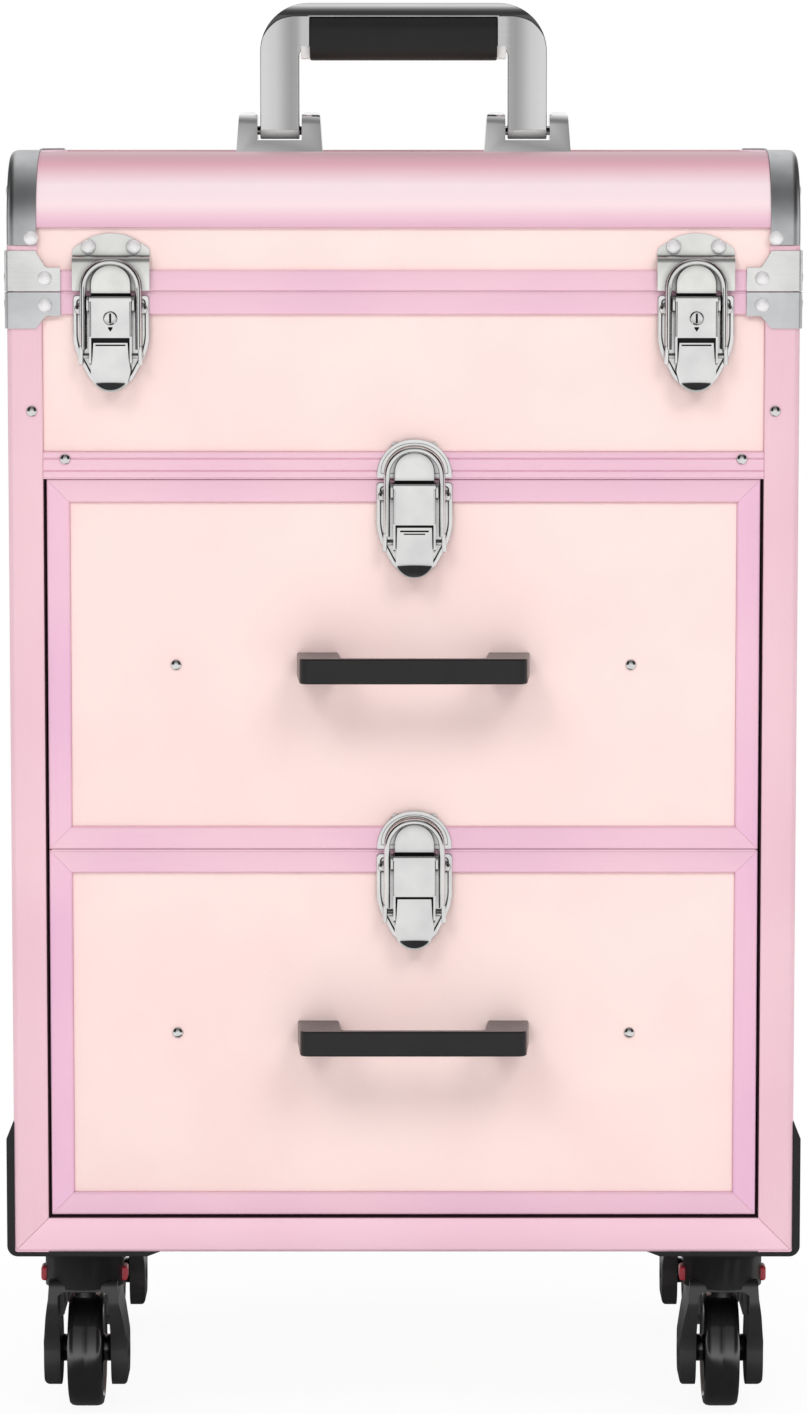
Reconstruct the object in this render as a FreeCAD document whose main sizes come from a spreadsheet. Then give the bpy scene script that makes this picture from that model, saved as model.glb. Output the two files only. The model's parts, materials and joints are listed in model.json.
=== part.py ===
import FreeCAD, Part
import math
import os
import re

import Sketcher

# Rolling makeup case: a framed body with two drawers and a lidded top compartment, on four
# swivel casters, with draw latches on its seams, a folding carry handle on the lid and a
# telescopic handle behind.
# Millimetres. X runs to the right, Y away from the viewer, Z up. The origin is on the floor,
# under the middle of the whole case, handles and all.

Vector = FreeCAD.Vector

# Driving dimensions, by assembly. A rise is measured up from a seam and a drop down from it.
SIZES = {
    # case body and lid
    "body_width": 360,
    "body_depth": 240,
    "lid_height": 62.8,
    "seam_gap": 0.4,
    "drawer_stack": 342.6,
    "upper_panel_height": 62.2,
    # frame profiles
    "frame_wall": 1.6,
    "post_width": 16,
    "post_lip": 10,
    "post_round": 2.5,
    "bottom_rail_height": 16,
    "middle_rail_height": 12,
    "rim_rail_height": 10.2,
    "rim_bar_depth": 8,
    "rim_bar_height": 4,
    "groove_width": 0.8,
    "groove_depth": 0.6,
    "groove_spacing": 5.6,
    # panels
    "panel_thickness": 4,
    "shelf_thickness": 8,
    # lid
    "lid_rail_height": 9.6,
    "bullnose_height": 34.2,
    "bullnose_lip": 1.2,
    "bullnose_reach": 38,
    "bullnose_inset": 8,
    "lid_post_width": 14,
    "lid_edge_width": 16,
    "lid_edge_round": 5.5,
    "lid_side_inset": 1,
    "cap_width": 13.6,
    "cap_wall": 0.8,
    "cap_height": 42,
    "cap_heel": 18,
    "cap_toe": 14,
    # stamped brackets at the corners of the seam
    "bracket_wall": 0.9,
    "bracket_width": 24.5,
    "bracket_waist": 13.2,
    "bracket_slope": 4.6,
    "bracket_arm_height": 10.8,
    "lid_bracket_height": 18.4,
    "body_bracket_height": 16.5,
    # rivet heads
    "rivet_width": 6.3,
    "rivet_height": 1.8,
    "small_rivet_width": 5,
    "small_rivet_height": 1.3,
    "bracket_rivet_inset": 17.4,
    "bracket_rivet_rise": 5.8,
    "cap_rivet_inset": 10.3,
    "cap_rivet_rise": 4,
    "cap_side_rivet_inset": 22,
    "post_rivet_inset": 11,
    "post_rivet_drop": 54,
    "middle_rivet_inset": 26,
    "middle_rivet_drop": 3.4,
    # drawers
    "drawer_side_gap": 1.5,
    "drawer_bottom_gap": 1.7,
    "drawer_between_gap": 0.5,
    "drawer_top_gap": 0.7,
    "drawer_front_thickness": 12,
    "drawer_frame_width": 10.5,
    "drawer_rivet_inset": 58.5,
    "box_side_gap": 4.3,
    "box_back_gap": 12.4,
    "box_height": 135,
    "box_wall": 6,
    "box_floor": 5,
    "box_lift": 6,
    # drawer runners
    "runner_width": 9.2,
    "runner_height": 35,
    "runner_wall": 1.2,
    "runner_end_gap": 8,
    "runner_setback": 2,
    "runner_gap": 0.3,
    "runner_inset": 0.5,
    # drawer pulls
    "pull_length": 103,
    "pull_foot_spread": 106.4,
    "pull_height": 11.6,
    "pull_projection": 30,
    "pull_bar": 5,
    "pull_foot": 19,
    "pull_round": 4,
    "pull_inner_round": 3,
    "pull_offset": 4.5,
    # draw latches
    "lid_latch_inset": 47.4,
    "drawer_latch_offset": 5,
    "latch_width": 35,
    "latch_wall": 1.2,
    "latch_top_drop": 1.6,
    "latch_shoulder_drop": 28,
    "latch_shoulder_round": 10,
    "latch_nose_drop": 44.6,
    "latch_nose_width": 18,
    "latch_nose_round": 6,
    "latch_pad_margin": 2.5,
    "latch_pad_drop": 11.5,
    "latch_ear_reach": 7.6,
    "latch_ear_drop": 9.2,
    "latch_ear_round": 2.2,
    "lever_width": 18.6,
    "lever_wall": 1,
    "lever_front": 8.4,
    "lever_back": 1.6,
    "lever_top_drop": 2.5,
    "lever_web_drop": 20.5,
    "lever_cheek_drop": 33,
    "lever_cheek_back": 3,
    "lever_round": 2.4,
    "lever_side_gap": 0.3,
    "tab_width": 17,
    "tab_wall": 1.2,
    "tab_slot": 1.8,
    "tab_bend_drop": 37.5,
    "tab_end_drop": 44,
    "tab_flare": 3,
    "tab_bend_round": 6,
    "lever_pivot_out": 5,
    "lever_pivot_drop": 5.2,
    "lever_pivot_radius": 1.5,
    "bail_out": 5.7,
    "bail_pivot_drop": 29,
    "bail_wire": 1.3,
    "bail_half_width": 12.5,
    "bail_rise": 13.8,
    "bail_arch": 12,
    "bail_hook_round": 2,
    "bail_tip": 8.8,
    "pivot_gap": 0.3,
    "key_plug_radius": 2.9,
    "key_plug_drop": 11.7,
    "key_plug_length": 3.4,
    "key_plug_proud": 0.5,
    "key_slot_width": 0.8,
    "key_slot_length": 4,
    "key_slot_depth": 1.2,
    "key_notch_drop": 16.6,
    "key_notch_radius": 0.9,
    # strikes above the seams
    "strike_foot_rise": 0.5,
    "strike_wall": 1,
    "lid_strike_width": 35.2,
    "lid_strike_step_rise": 14,
    "lid_strike_shoulder_rise": 19.4,
    "lid_strike_peak_rise": 31,
    "lid_strike_crown_round": 21.7,
    "lid_strike_corner_round": 3,
    "strike_rivet_offset": 10.2,
    "strike_rivet_rise": 20.2,
    "drawer_strike_width": 34.2,
    "drawer_strike_rise": 18,
    "drawer_strike_round": 16.5,
    "drawer_strike_pad_width": 20,
    "drawer_strike_pad_rise": 16.5,
    "boss_width": 18,
    "boss_rise": 11.8,
    "boss_round": 8.5,
    "boss_height": 3,
    # lid hinges
    "hinge_inset": 70,
    "hinge_width": 50,
    "hinge_knuckle": 16,
    "hinge_barrel_radius": 3,
    "hinge_pin_radius": 1.3,
    "hinge_wall": 1.2,
    "hinge_leaf_height": 5.8,
    "hinge_gap": 0.3,
    # folding carry handle
    "carry_spacing": 117.2,
    "carry_pivot_rise": 9.5,
    "carry_top_rise": 69.5,
    "carry_arm_width": 18.5,
    "carry_thickness": 8,
    "carry_band": 6,
    "carry_round": 23,
    "carry_pin_radius": 2.1,
    "grip_length": 88.6,
    "grip_height": 21,
    "grip_depth": 15.6,
    "grip_round": 5,
    "clevis_foot_width": 40.8,
    "clevis_top_width": 38,
    "clevis_gap": 21,
    "clevis_foot_depth": 30,
    "clevis_top_depth": 22,
    "clevis_round": 7,
    "clevis_ear_round": 2,
    "clevis_rise": 18,
    "clevis_saddle_rise": 5,
    # corner brackets under the case, with the caster housings moulded on
    "corner_wall": 3.4,
    "corner_floor": 2.3,
    "corner_side_height": 61,
    "corner_reach": 67.3,
    "corner_depth": 62,
    "corner_setback": 1,
    "corner_round": 5,
    "corner_bevel": 8,
    "corner_taper": 6,
    # casters
    "caster_inset_x": 30.4,
    "caster_inset_y": 35,
    "caster_height": 82,
    "housing_top_radius": 22.5,
    "housing_radius": 18.4,
    "housing_skirt": 6,
    "housing_height": 19.6,
    "release_width": 10,
    "release_height": 7,
    "release_drop": 18,
    "release_proud": 1.9,
    "release_seat": 4,
    "fork_gap": 0.4,
    "fork_width": 40,
    "fork_slot": 24,
    "fork_crown": 4.3,
    "fork_shoulder": 12,
    "fork_front": 15,
    "fork_back": 17,
    "fork_leg_radius": 13.5,
    "fork_leg_round": 13,
    "stem_radius": 5,
    "stem_length": 12,
    "stem_gap": 0.3,
    "wheel_radius": 27.5,
    "wheel_width": 18.8,
    "wheel_round": 3,
    "wheel_trail": 16,
    "wheel_gap": 0.3,
    "hub_radius": 6,
    "axle_radius": 3,
    # telescopic handle on the back
    "tube_spacing": 140,
    "tube_width": 20,
    "tube_depth": 14,
    "tube_wall": 1.1,
    "tube_round": 3,
    "tube_gap": 0.3,
    "tube_standoff": 1.5,
    "sleeve_drop": 423.3,
    "sleeve_length": 382,
    "stage_step": 4,
    "holder_side": 4,
    "holder_wall": 1.6,
    "holder_height": 20,
    "trolley_grip_side": 2,
    "trolley_grip_depth": 22,
    "trolley_grip_height": 25.5,
    "trolley_grip_round": 6,
    "trolley_grip_gap": 0.5,
    "tube_seat": 15,
    "button_width": 24,
    "button_depth": 10,
    "button_proud": 3,
    "button_seat": 6,
    "button_round": 3,
    "button_gap": 0.4,
    "button_travel": 2.5,
    # how far a cutting tool passes beyond what it cuts
    "overrun": 5,
}

# Places worked out from the driving dimensions.
PLACES = {
    "rear_reach": "tube_standoff + trolley_grip_depth",
    "front": "pull_projection - (pull_projection + body_depth + rear_reach) / 2",
    "back": "front + body_depth",
    "middle": "(front + back) / 2",
    "half_width": "body_width / 2",
    "bottom": "caster_height + corner_floor",
    "opening_bottom": "bottom + bottom_rail_height",
    "opening_top": "opening_bottom + drawer_stack",
    "middle_top": "opening_top + middle_rail_height",
    "rim_under": "middle_top + upper_panel_height",
    "rim": "rim_under + rim_rail_height",
    "lid_bottom": "rim + seam_gap",
    "seam": "rim + seam_gap / 2",
    "lid_top": "lid_bottom + lid_height",
    "lid_rail_top": "lid_bottom + lid_rail_height",
    "opening_half": "half_width - post_width",
    "panel_front": "front + frame_wall",
    "panel_back": "back - frame_wall",
    "panel_side": "half_width - frame_wall",
    "panel_foot": "bottom + frame_wall",
    "panel_head": "rim - rim_bar_height",
    "inside_side": "panel_side - panel_thickness",
    "drawer_gaps": "drawer_bottom_gap + drawer_between_gap + drawer_top_gap",
    "drawer_height": "(drawer_stack - drawer_gaps) / 2",
    "lower_drawer_low": "opening_bottom + drawer_bottom_gap",
    "lower_drawer_high": "lower_drawer_low + drawer_height",
    "upper_drawer_low": "lower_drawer_high + drawer_between_gap",
    "upper_drawer_high": "upper_drawer_low + drawer_height",
    "drawer_half": "opening_half - drawer_side_gap",
    "drawer_back": "front + drawer_front_thickness",
    "lid_panel_foot": "lid_bottom + rim_bar_height",
    "lid_panel_top": "lid_top - frame_wall",
    "bullnose_foot": "lid_top - bullnose_height",
    "bullnose_radius": "bullnose_height - bullnose_lip",
    "cap_low": "lid_top - cap_height",
    "carry_pivot": "lid_top + carry_pivot_rise",
    "carry_top": "lid_top + carry_top_rise",
    "caster_x": "half_width - caster_inset_x",
    "front_caster_y": "front + caster_inset_y",
    "rear_caster_y": "back - caster_inset_y",
    "housing_low": "caster_height - housing_height",
    "fork_top": "housing_low - fork_gap",
    "hinge_y": "back + hinge_barrel_radius + hinge_gap",
    "tube_front": "back + tube_standoff",
    "sleeve_low": "rim - sleeve_drop",
    "sleeve_high": "sleeve_low + sleeve_length",
    "trolley_grip_low": "sleeve_high + trolley_grip_gap",
    "trolley_grip_high": "trolley_grip_low + trolley_grip_height",
    "runner_side": "opening_half - runner_inset",
    "runner_mouth": "runner_side - runner_width",
    "runner_front": "drawer_back + runner_setback",
    "box_half": "runner_mouth - box_side_gap",
    "box_back": "panel_back - panel_thickness - box_back_gap",
    "runner_back": "box_back - runner_end_gap",
    "lid_latch_offset": "half_width - lid_latch_inset",
    "hinge_offset": "half_width - hinge_inset",
    "tube_outside": "(tube_spacing + tube_width) / 2",
}

doc = FreeCAD.newDocument("makeup_case")
sheet_of = {}
nodes = {}


def full(text):
    """An expression with each name led by its own sheet's name."""
    return re.sub(r"[a-z][a-z_]*", lambda word: sheet_of.get(word[0], "") + word[0], str(text))


def fill_sheet(name, cells, lead=""):
    """Write names and numbers or formulas into a sheet, with each name as the cell's alias."""
    sheet = doc.addObject("Spreadsheet::Sheet", name)
    for row, (alias, content) in enumerate(cells.items(), 1):
        sheet.set(f"A{row}", alias)
        sheet.setAlias(f"B{row}", alias)
        sheet.set(f"B{row}", lead + full(content))
    doc.recompute()
    sheet_of.update({alias: name + "." for alias in cells})
    return sheet


size = fill_sheet("size", SIZES)
place = fill_sheet("place", PLACES, lead="=")


def value(text):
    """The number that an expression comes to now."""
    return float(size.evalExpression(full(text)))


def seat(thing, x=None, y=None, z=None):
    """Tie where a piece stands to the sheets."""
    for axis, text in zip("xyz", (x, y, z)):
        if text is not None:
            thing.setExpression(f"Placement.Base.{axis}", full(text))
    return thing


def node(name, *pieces):
    """Name one sub-part: a single piece, or a group of separate ones."""
    whole = pieces[0] if len(pieces) == 1 else group(name + "_pieces", *pieces)
    whole.Label = name
    nodes[name] = whole


def box(name, x, y, z):
    """A block between two places on each axis."""
    block = doc.addObject("Part::Box", name)
    for side, (low, high) in zip(("Length", "Width", "Height"), (x, y, z)):
        block.setExpression(side, full(f"({high}) - ({low})"))
    return seat(block, x[0], y[0], z[0])


TURNS = {
    "up": FreeCAD.Rotation(),
    "right": FreeCAD.Rotation(Vector(0, 1, 0), 90),
    "left": FreeCAD.Rotation(Vector(0, 1, 0), -90),
    "back": FreeCAD.Rotation(Vector(1, 0, 0), -90),
    "front": FreeCAD.Rotation(Vector(1, 0, 0), 90),
}


def rod(name, towards, start, radius, length):
    """A round bar that runs one way from the middle of its first end."""
    bar = doc.addObject("Part::Cylinder", name)
    bar.setExpression("Radius", full(radius))
    bar.setExpression("Height", full(length))
    bar.Placement = FreeCAD.Placement(Vector(), TURNS[towards])
    return seat(bar, *start)


def rivet(name, towards, spot, width="rivet_width", height="rivet_height"):
    """A domed rivet head: the cap of a ball, flat side down on the spot."""
    head = doc.addObject("Part::Sphere", name)
    ball = f"(({width}) ^ 2 / 4 + ({height}) ^ 2) / (2 * ({height}))"
    head.setExpression("Radius", full(ball))
    head.setExpression("Angle1", full(f"asin(({ball} - ({height})) / ({ball}))"))
    head.Placement = FreeCAD.Placement(Vector(), TURNS[towards])
    sink = f"({ball} - ({height}))"
    sunk = {"front": (0, 1, 0), "back": (0, -1, 0), "left": (1, 0, 0), "right": (-1, 0, 0)}
    way = sunk[towards]
    return seat(head, *[f"({text}) + {sign} * {sink}" for text, sign in zip(spot, way)])


def sketch_on(body, plane, name):
    """An empty sketch on one of a body's own origin planes."""
    sketch = body.newObject("Sketcher::SketchObject", name)
    origin = [face for face in body.Origin.OriginFeatures if face.Role == plane + "_Plane"]
    sketch.AttachmentSupport = [(origin[0], "")]
    sketch.MapMode = "FlatFace"
    return sketch


def fix_point(sketch, line, end, across, up):
    """Tie one point of a sketch to its place across and up."""
    for kind, text in (("DistanceX", across), ("DistanceY", up)):
        rule = Sketcher.Constraint(kind, -1, 1, line, end, value(text))
        sketch.setExpression(f"Constraints[{sketch.addConstraint(rule)}]", full(text))


def draw(sketch, corners, closed=True):
    """Draw lines through corners (across, up), rounding each (across, up, radius)."""
    spots = [Vector(value(corner[0]), value(corner[1]), 0) for corner in corners]
    count = len(spots)
    arrive, leave, arcs = list(spots), list(spots), {}
    for here, corner in enumerate(corners):
        if len(corner) < 3:
            continue
        radius = value(corner[2])
        into = (spots[here] - spots[here - 1]).normalize()
        out = (spots[(here + 1) % count] - spots[here]).normalize()
        setback = radius * math.tan(into.getAngle(out) / 2)
        arrive[here] = spots[here] - into * setback
        leave[here] = spots[here] + out * setback
        left_turn = into.x * out.y - into.y * out.x > 0
        side = Vector(-into.y, into.x, 0) * (radius if left_turn else -radius)
        hub = arrive[here] + side
        ends = (arrive[here], leave[here]) if left_turn else (leave[here], arrive[here])
        start, stop = [math.atan2(end.y - hub.y, end.x - hub.x) for end in ends]
        stop = stop if stop > start else stop + 2 * math.pi
        circle = Part.Circle(hub, Vector(0, 0, 1), radius)
        arcs[here] = sketch.addGeometry(Part.ArcOfCircle(circle, start, stop), False)
        rule = sketch.addConstraint(Sketcher.Constraint("Radius", arcs[here], radius))
        sketch.setExpression(f"Constraints[{rule}]", full(corner[2]))
        arcs[here] = (arcs[here], 1 if left_turn else 2, 2 if left_turn else 1)
    runs = count if closed else count - 1
    lines = []
    for here in range(runs):
        after = (here + 1) % count
        lines.append(sketch.addGeometry(Part.LineSegment(leave[here], arrive[after]), False))
    for here, corner in enumerate(corners):
        inward = lines[here - 1] if closed or here > 0 else None
        outward = lines[here] if here < runs else None
        if here in arcs:
            arc, first, last = arcs[here]
            sketch.addConstraint(Sketcher.Constraint("Tangent", inward, 2, arc, first))
            sketch.addConstraint(Sketcher.Constraint("Tangent", arc, last, outward, 1))
            point = sketch.addGeometry(Part.Point(spots[here]), True)
            sketch.addConstraint(Sketcher.Constraint("PointOnObject", point, 1, inward))
            sketch.addConstraint(Sketcher.Constraint("PointOnObject", point, 1, outward))
            fix_point(sketch, point, 1, corner[0], corner[1])
        elif outward is None:
            fix_point(sketch, inward, 2, corner[0], corner[1])
        else:
            if inward is not None:
                sketch.addConstraint(Sketcher.Constraint("Coincident", inward, 2, outward, 1))
            fix_point(sketch, outward, 1, corner[0], corner[1])
    return sketch


def prism(name, plane, corners, low, high):
    """A body whose outline runs straight across from one place to another."""
    body = doc.addObject("PartDesign::Body", name)
    pad = body.newObject("PartDesign::Pad", name + "_pad")
    pad.Profile = draw(sketch_on(body, plane, name + "_outline"), corners)
    pad.Reversed = plane == "XZ"
    pad.setExpression("Length", full(f"({high}) - ({low})"))
    spot = {"XY": {"z": low}, "XZ": {"y": low}, "YZ": {"x": low}}
    return seat(body, **spot[plane])


def turned(name, axis, corners):
    """A body turned about its own X or Z axis from half of its section."""
    body = doc.addObject("PartDesign::Body", name)
    spin = body.newObject("PartDesign::Revolution", name + "_spin")
    spin.Profile = draw(sketch_on(body, "XZ", name + "_section"), corners)
    spin.ReferenceAxis = (spin.Profile[0], ["H_Axis" if axis == "x" else "V_Axis"])
    spin.Angle = 360
    return body


def rounded(body, radius, picks):
    """Round the edges of a body whose middles satisfy the test."""
    doc.recompute()
    edges = [f"Edge{number}" for number, edge in enumerate(body.Tip.Shape.Edges, 1)
             if picks(edge)]
    base = body.Tip
    fillet = body.newObject("PartDesign::Fillet", body.Name + "_round")
    fillet.Base = (base, edges)
    fillet.setExpression("Radius", full(radius))
    return body


def runs_along(edge, axis):
    """True for a straight edge in the direction of one axis."""
    ends = [vertex.Point for vertex in edge.Vertexes]
    if len(ends) != 2 or edge.Curve.TypeId != "Part::GeomLine":
        return False
    span = ends[1] - ends[0]
    return abs(abs(getattr(span, axis)) - span.Length) < 1e-6


def join(name, *pieces):
    """Pieces made as one solid."""
    whole = doc.addObject("Part::MultiFuse", name)
    whole.Shapes = list(pieces)
    whole.Refine = True
    return whole


def group(name, *pieces):
    """Separate solids that are handled together."""
    whole = doc.addObject("Part::Compound", name)
    whole.Links = list(pieces)
    return whole


def cut(name, piece, *tools):
    """A piece with others taken out of it."""
    left = doc.addObject("Part::Cut", name)
    left.Base = piece
    left.Tool = tools[0] if len(tools) == 1 else group(name + "_tools", *tools)
    return left


def shared(name, *pieces):
    """What two or more pieces have in common."""
    whole = doc.addObject("Part::MultiCommon", name)
    whole.Shapes = list(pieces)
    return whole


def mirrored(piece, across):
    """The same piece on the other side: across x, or across y about the body's middle."""
    twin = doc.addObject("Part::Mirroring", f"{piece.Name}_over_{across}")
    twin.Source = piece
    twin.Normal = Vector(1, 0, 0) if across == "x" else Vector(0, 1, 0)
    if across == "y":
        twin.setExpression("Base.y", full("middle"))
    return twin


def both_sides(*pieces):
    return [*pieces, *[mirrored(piece, "x") for piece in pieces]]


def front_and_back(*pieces):
    return [*pieces, *[mirrored(piece, "y") for piece in pieces]]


def at_corners(*pieces):
    return both_sides(*front_and_back(*pieces))


def rectangle(across, up, bend):
    """The rounded corners of an oblong between two places each way."""
    return [(across[0], up[0], bend), (across[1], up[0], bend),
            (across[1], up[1], bend), (across[0], up[1], bend)]


# Case frame


def corner_posts():
    """Upright angle profiles with an inner lip beside the drawer opening."""
    lip = "-opening_half - frame_wall"
    plan = [("-half_width", "front", "post_round"),
            ("-opening_half", "front"),
            ("-opening_half", "front + post_lip"),
            (lip, "front + post_lip"),
            (lip, "panel_front"),
            ("-panel_side", "panel_front"),
            ("-panel_side", "front + post_width"),
            ("-half_width", "front + post_width")]
    node("corner_posts", *at_corners(prism("post", "XY", plan, "bottom", "rim_under")))


def rail_angle(name, low, high, bar_low, bar_high, plane):
    """A rail with an outer flange and a bar behind it, along the front or the left side."""
    if plane == "YZ":
        outer, inner, deep = "front", "panel_front", "front + rim_bar_depth"
        run = ("-half_width", "half_width")
    else:
        outer, inner, deep = "-half_width", "-panel_side", "-half_width + rim_bar_depth"
        run = ("front + rim_bar_depth", "back - rim_bar_depth")
    near, far = (high, low) if bar_high == high else (low, high)
    bar = bar_low if bar_high == high else bar_high
    section = [(outer, far), (inner, far), (inner, bar), (deep, bar), (deep, near), (outer, near)]
    return prism(name, plane, section, *run)


def body_rails():
    """Rim rails, bottom rails and the grooved rail over the drawers."""
    rim_bar = ("rim_under", "rim", "panel_head", "rim")
    rim_front = rail_angle("rim_front", *rim_bar, "YZ")
    rim_side = rail_angle("rim_side", *rim_bar, "XZ")
    lip_low = "opening_bottom - frame_wall"
    channel = [("front", "bottom"), ("front + post_width", "bottom"),
               ("front + post_width", "panel_foot"), ("panel_front", "panel_foot"),
               ("panel_front", lip_low), ("front + post_lip", lip_low),
               ("front + post_lip", "opening_bottom"), ("front", "opening_bottom")]
    bottom_front = prism("bottom_front", "YZ", channel, "-opening_half", "opening_half")
    angle = [("-half_width", "bottom"), ("-half_width", "opening_bottom"),
             ("-panel_side", "opening_bottom"), ("-panel_side", "panel_foot"),
             ("-opening_half", "panel_foot"), ("-opening_half", "bottom")]
    bottom_side = prism("bottom_side", "XZ", angle, "front + post_width", "back - post_width")
    across = ("-opening_half", "opening_half")
    bar = box("middle_bar", across, ("front", "front + post_lip"), ("opening_top", "middle_top"))
    grooves = []
    for row, step in enumerate(("- groove_spacing / 2", "+ groove_spacing / 2")):
        level = f"(opening_top + middle_top) / 2 {step}"
        height = (f"{level} - groove_width / 2", f"{level} + groove_width / 2")
        grooves.append(box(f"groove_{row}", across, ("front", "front + groove_depth"), height))
    middle_rail = cut("middle_rail", bar, *grooves)
    node("body_rails", *front_and_back(rim_front, bottom_front),
         *both_sides(rim_side, bottom_side), middle_rail)


def upper_front_panel():
    """The fixed panel in front of the top compartment."""
    node("upper_front_panel", box("upper_panel", ("-opening_half", "opening_half"),
                                  ("panel_front", "panel_front + panel_thickness"),
                                  ("middle_top", "panel_head")))


def body_panels():
    """Side, back and bottom panels and the shelf that floors the top compartment."""
    upright = ("panel_foot", "panel_head")
    sides = both_sides(box("side_panel", ("-panel_side", "-inside_side"),
                           ("panel_front", "panel_back"), upright))
    back = box("back_panel", ("-opening_half", "opening_half"),
               ("panel_back - panel_thickness", "panel_back"), ("opening_bottom", "panel_head"))
    between = ("front + post_lip", "back - post_lip")
    across = ("-inside_side", "inside_side")
    bottom = box("bottom_panel", across, between, ("panel_foot", "panel_foot + panel_thickness"))
    shelf_low = "(opening_top + middle_top - shelf_thickness) / 2"
    shelf = box("shelf", across, between, (shelf_low, f"{shelf_low} + shelf_thickness"))
    node("body_panels", *sides, back, bottom, shelf)


def seam_bracket(name, edge, way, height):
    """A stamped angle round a corner of the seam, stepped down to a narrow arm each way."""
    tall, low = f"{edge} {way} {height}", f"{edge} {way} bracket_arm_height"

    def leg(start, corner):
        return [(f"{corner} - bracket_wall", edge),
                (f"{corner} - bracket_wall", tall),
                (f"{start} + bracket_waist", tall),
                (f"{start} + bracket_waist + bracket_slope", low),
                (f"{start} + bracket_width", low),
                (f"{start} + bracket_width", edge)]

    face = prism(name + "_face", "XZ", leg("-half_width", "-half_width"),
                 "front - bracket_wall", "front")
    side = prism(name + "_side", "YZ", leg("front", "front"),
                 "-half_width - bracket_wall", "-half_width")
    return join(name, face, side)


def bracket_rivets(name, level):
    """A rivet in each leg of a seam bracket."""
    inset = "bracket_rivet_inset"
    return [rivet(name + "_face", "front",
                  (f"-half_width + {inset}", "front - bracket_wall", level)),
            rivet(name + "_side", "left",
                  ("-half_width - bracket_wall", f"front + {inset}", level))]


def body_hardware():
    """Seam brackets on the body and the rivets of its frame."""
    node("body_corner_brackets",
         *at_corners(seam_bracket("body_bracket", "rim", "-", "body_bracket_height")))
    small = ("small_rivet_width", "small_rivet_height")
    posts = at_corners(rivet("post_rivet", "front", ("-half_width + post_rivet_inset", "front",
                                                     "rim - post_rivet_drop")))
    rail = both_sides(rivet("rail_rivet", "front", ("-half_width + middle_rivet_inset", "front",
                                                    "middle_top - middle_rivet_drop"), *small))
    brackets = at_corners(*bracket_rivets("body_rivet", "rim - bracket_rivet_rise"))
    node("body_rivets", *posts, *rail, *brackets)


# Lid


def lid_profiles():
    """The big quarter-round profiles along the lid's front and rear edges."""
    section = [("front", "bullnose_foot"),
               ("front", "lid_top", "bullnose_radius"),
               ("front + bullnose_reach", "lid_top"),
               ("front + bullnose_reach", "lid_panel_top"),
               ("panel_front", "lid_panel_top", "bullnose_radius - frame_wall"),
               ("panel_front", "bullnose_foot")]
    end = "half_width - bullnose_inset"
    node("lid_bullnose_profiles",
         *front_and_back(prism("bullnose", "YZ", section, f"-({end})", end)))


def lid_panels():
    """Top panel, side panels with rounded corners, and the strips below the profiles."""
    top = box("lid_top_panel", ("-inside_side", "inside_side"),
              ("front + bullnose_radius", "back - bullnose_radius"),
              ("lid_panel_top - panel_thickness", "lid_panel_top"))
    head, bend = "lid_top - lid_edge_round", "bullnose_radius - lid_edge_round"
    near, far = "panel_front + lid_side_inset", "panel_back - lid_side_inset"
    outline = [(near, "lid_panel_foot"), (far, "lid_panel_foot"),
               (far, head, bend), (near, head, bend)]
    sides = both_sides(prism("lid_side", "YZ", outline, "-panel_side", "-inside_side"))
    strips = front_and_back(box("lid_strip", ("-inside_side", "inside_side"),
                                ("panel_front", "panel_front + panel_thickness"),
                                ("lid_panel_foot", "bullnose_foot + bullnose_lip")))
    node("lid_panels", top, *sides, *strips)


def lid_rails():
    """Rim rails, short corner posts and the rounded rails along the top side edges."""
    rim_bar = ("lid_bottom", "lid_rail_top", "lid_bottom", "lid_panel_foot")
    rim_front = rail_angle("lid_rim_front", *rim_bar, "YZ")
    rim_side = rail_angle("lid_rim_side", *rim_bar, "XZ")
    plan = [("-half_width", "front", "post_round"),
            ("-half_width + lid_post_width", "front"),
            ("-half_width + lid_post_width", "panel_front"),
            ("-panel_side", "panel_front"),
            ("-panel_side", "front + lid_post_width"),
            ("-half_width", "front + lid_post_width")]
    posts = at_corners(prism("lid_post", "XY", plan, "lid_rail_top", "cap_low"))
    section = [("-half_width", "lid_top - lid_edge_width"),
               ("-half_width", "lid_top", "lid_edge_round"),
               ("-half_width + lid_edge_width", "lid_top"),
               ("-half_width + lid_edge_width", "lid_panel_top"),
               ("-panel_side", "lid_panel_top", "lid_edge_round - frame_wall"),
               ("-panel_side", "lid_top - lid_edge_width")]
    edges = both_sides(prism("lid_edge", "XZ", section, "front + bullnose_reach",
                             "back - bullnose_reach"))
    node("lid_rails", *front_and_back(rim_front), *both_sides(rim_side), *posts, *edges)


def cap_form(name, skin, low, heel, reach, side, inner, bend):
    """The form of a corner cap: the lid's rounded end, eased over towards its side."""
    outline = [(f"front - {skin}", low),
               (f"front - {skin}", f"lid_top + {skin}", f"bullnose_radius + {skin}"),
               (reach, f"lid_top + {skin}"),
               (reach, heel),
               ("front + cap_toe", low)]
    body = prism(name, "YZ", outline, side, inner)
    edge_front, edge_top = value(f"front - {skin}"), value(f"lid_top + {skin}")
    turn = value("bullnose_radius")

    def outer_rim(edge):
        middle = edge.valueAt((edge.FirstParameter + edge.LastParameter) / 2)
        on_face = abs(middle.y - edge_front) < turn and middle.z > value(low) + 1
        on_side = all(abs(vertex.X) < 1e-6 for vertex in edge.Vertexes)
        straight_front = abs(middle.y - edge_front) < 1e-6
        straight_top = abs(middle.z - edge_top) < 1e-6
        curved = edge.Curve.TypeId == "Part::GeomCircle"
        return on_side and (straight_front or straight_top or (curved and on_face))

    return rounded(body, bend, outer_rim)


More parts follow.
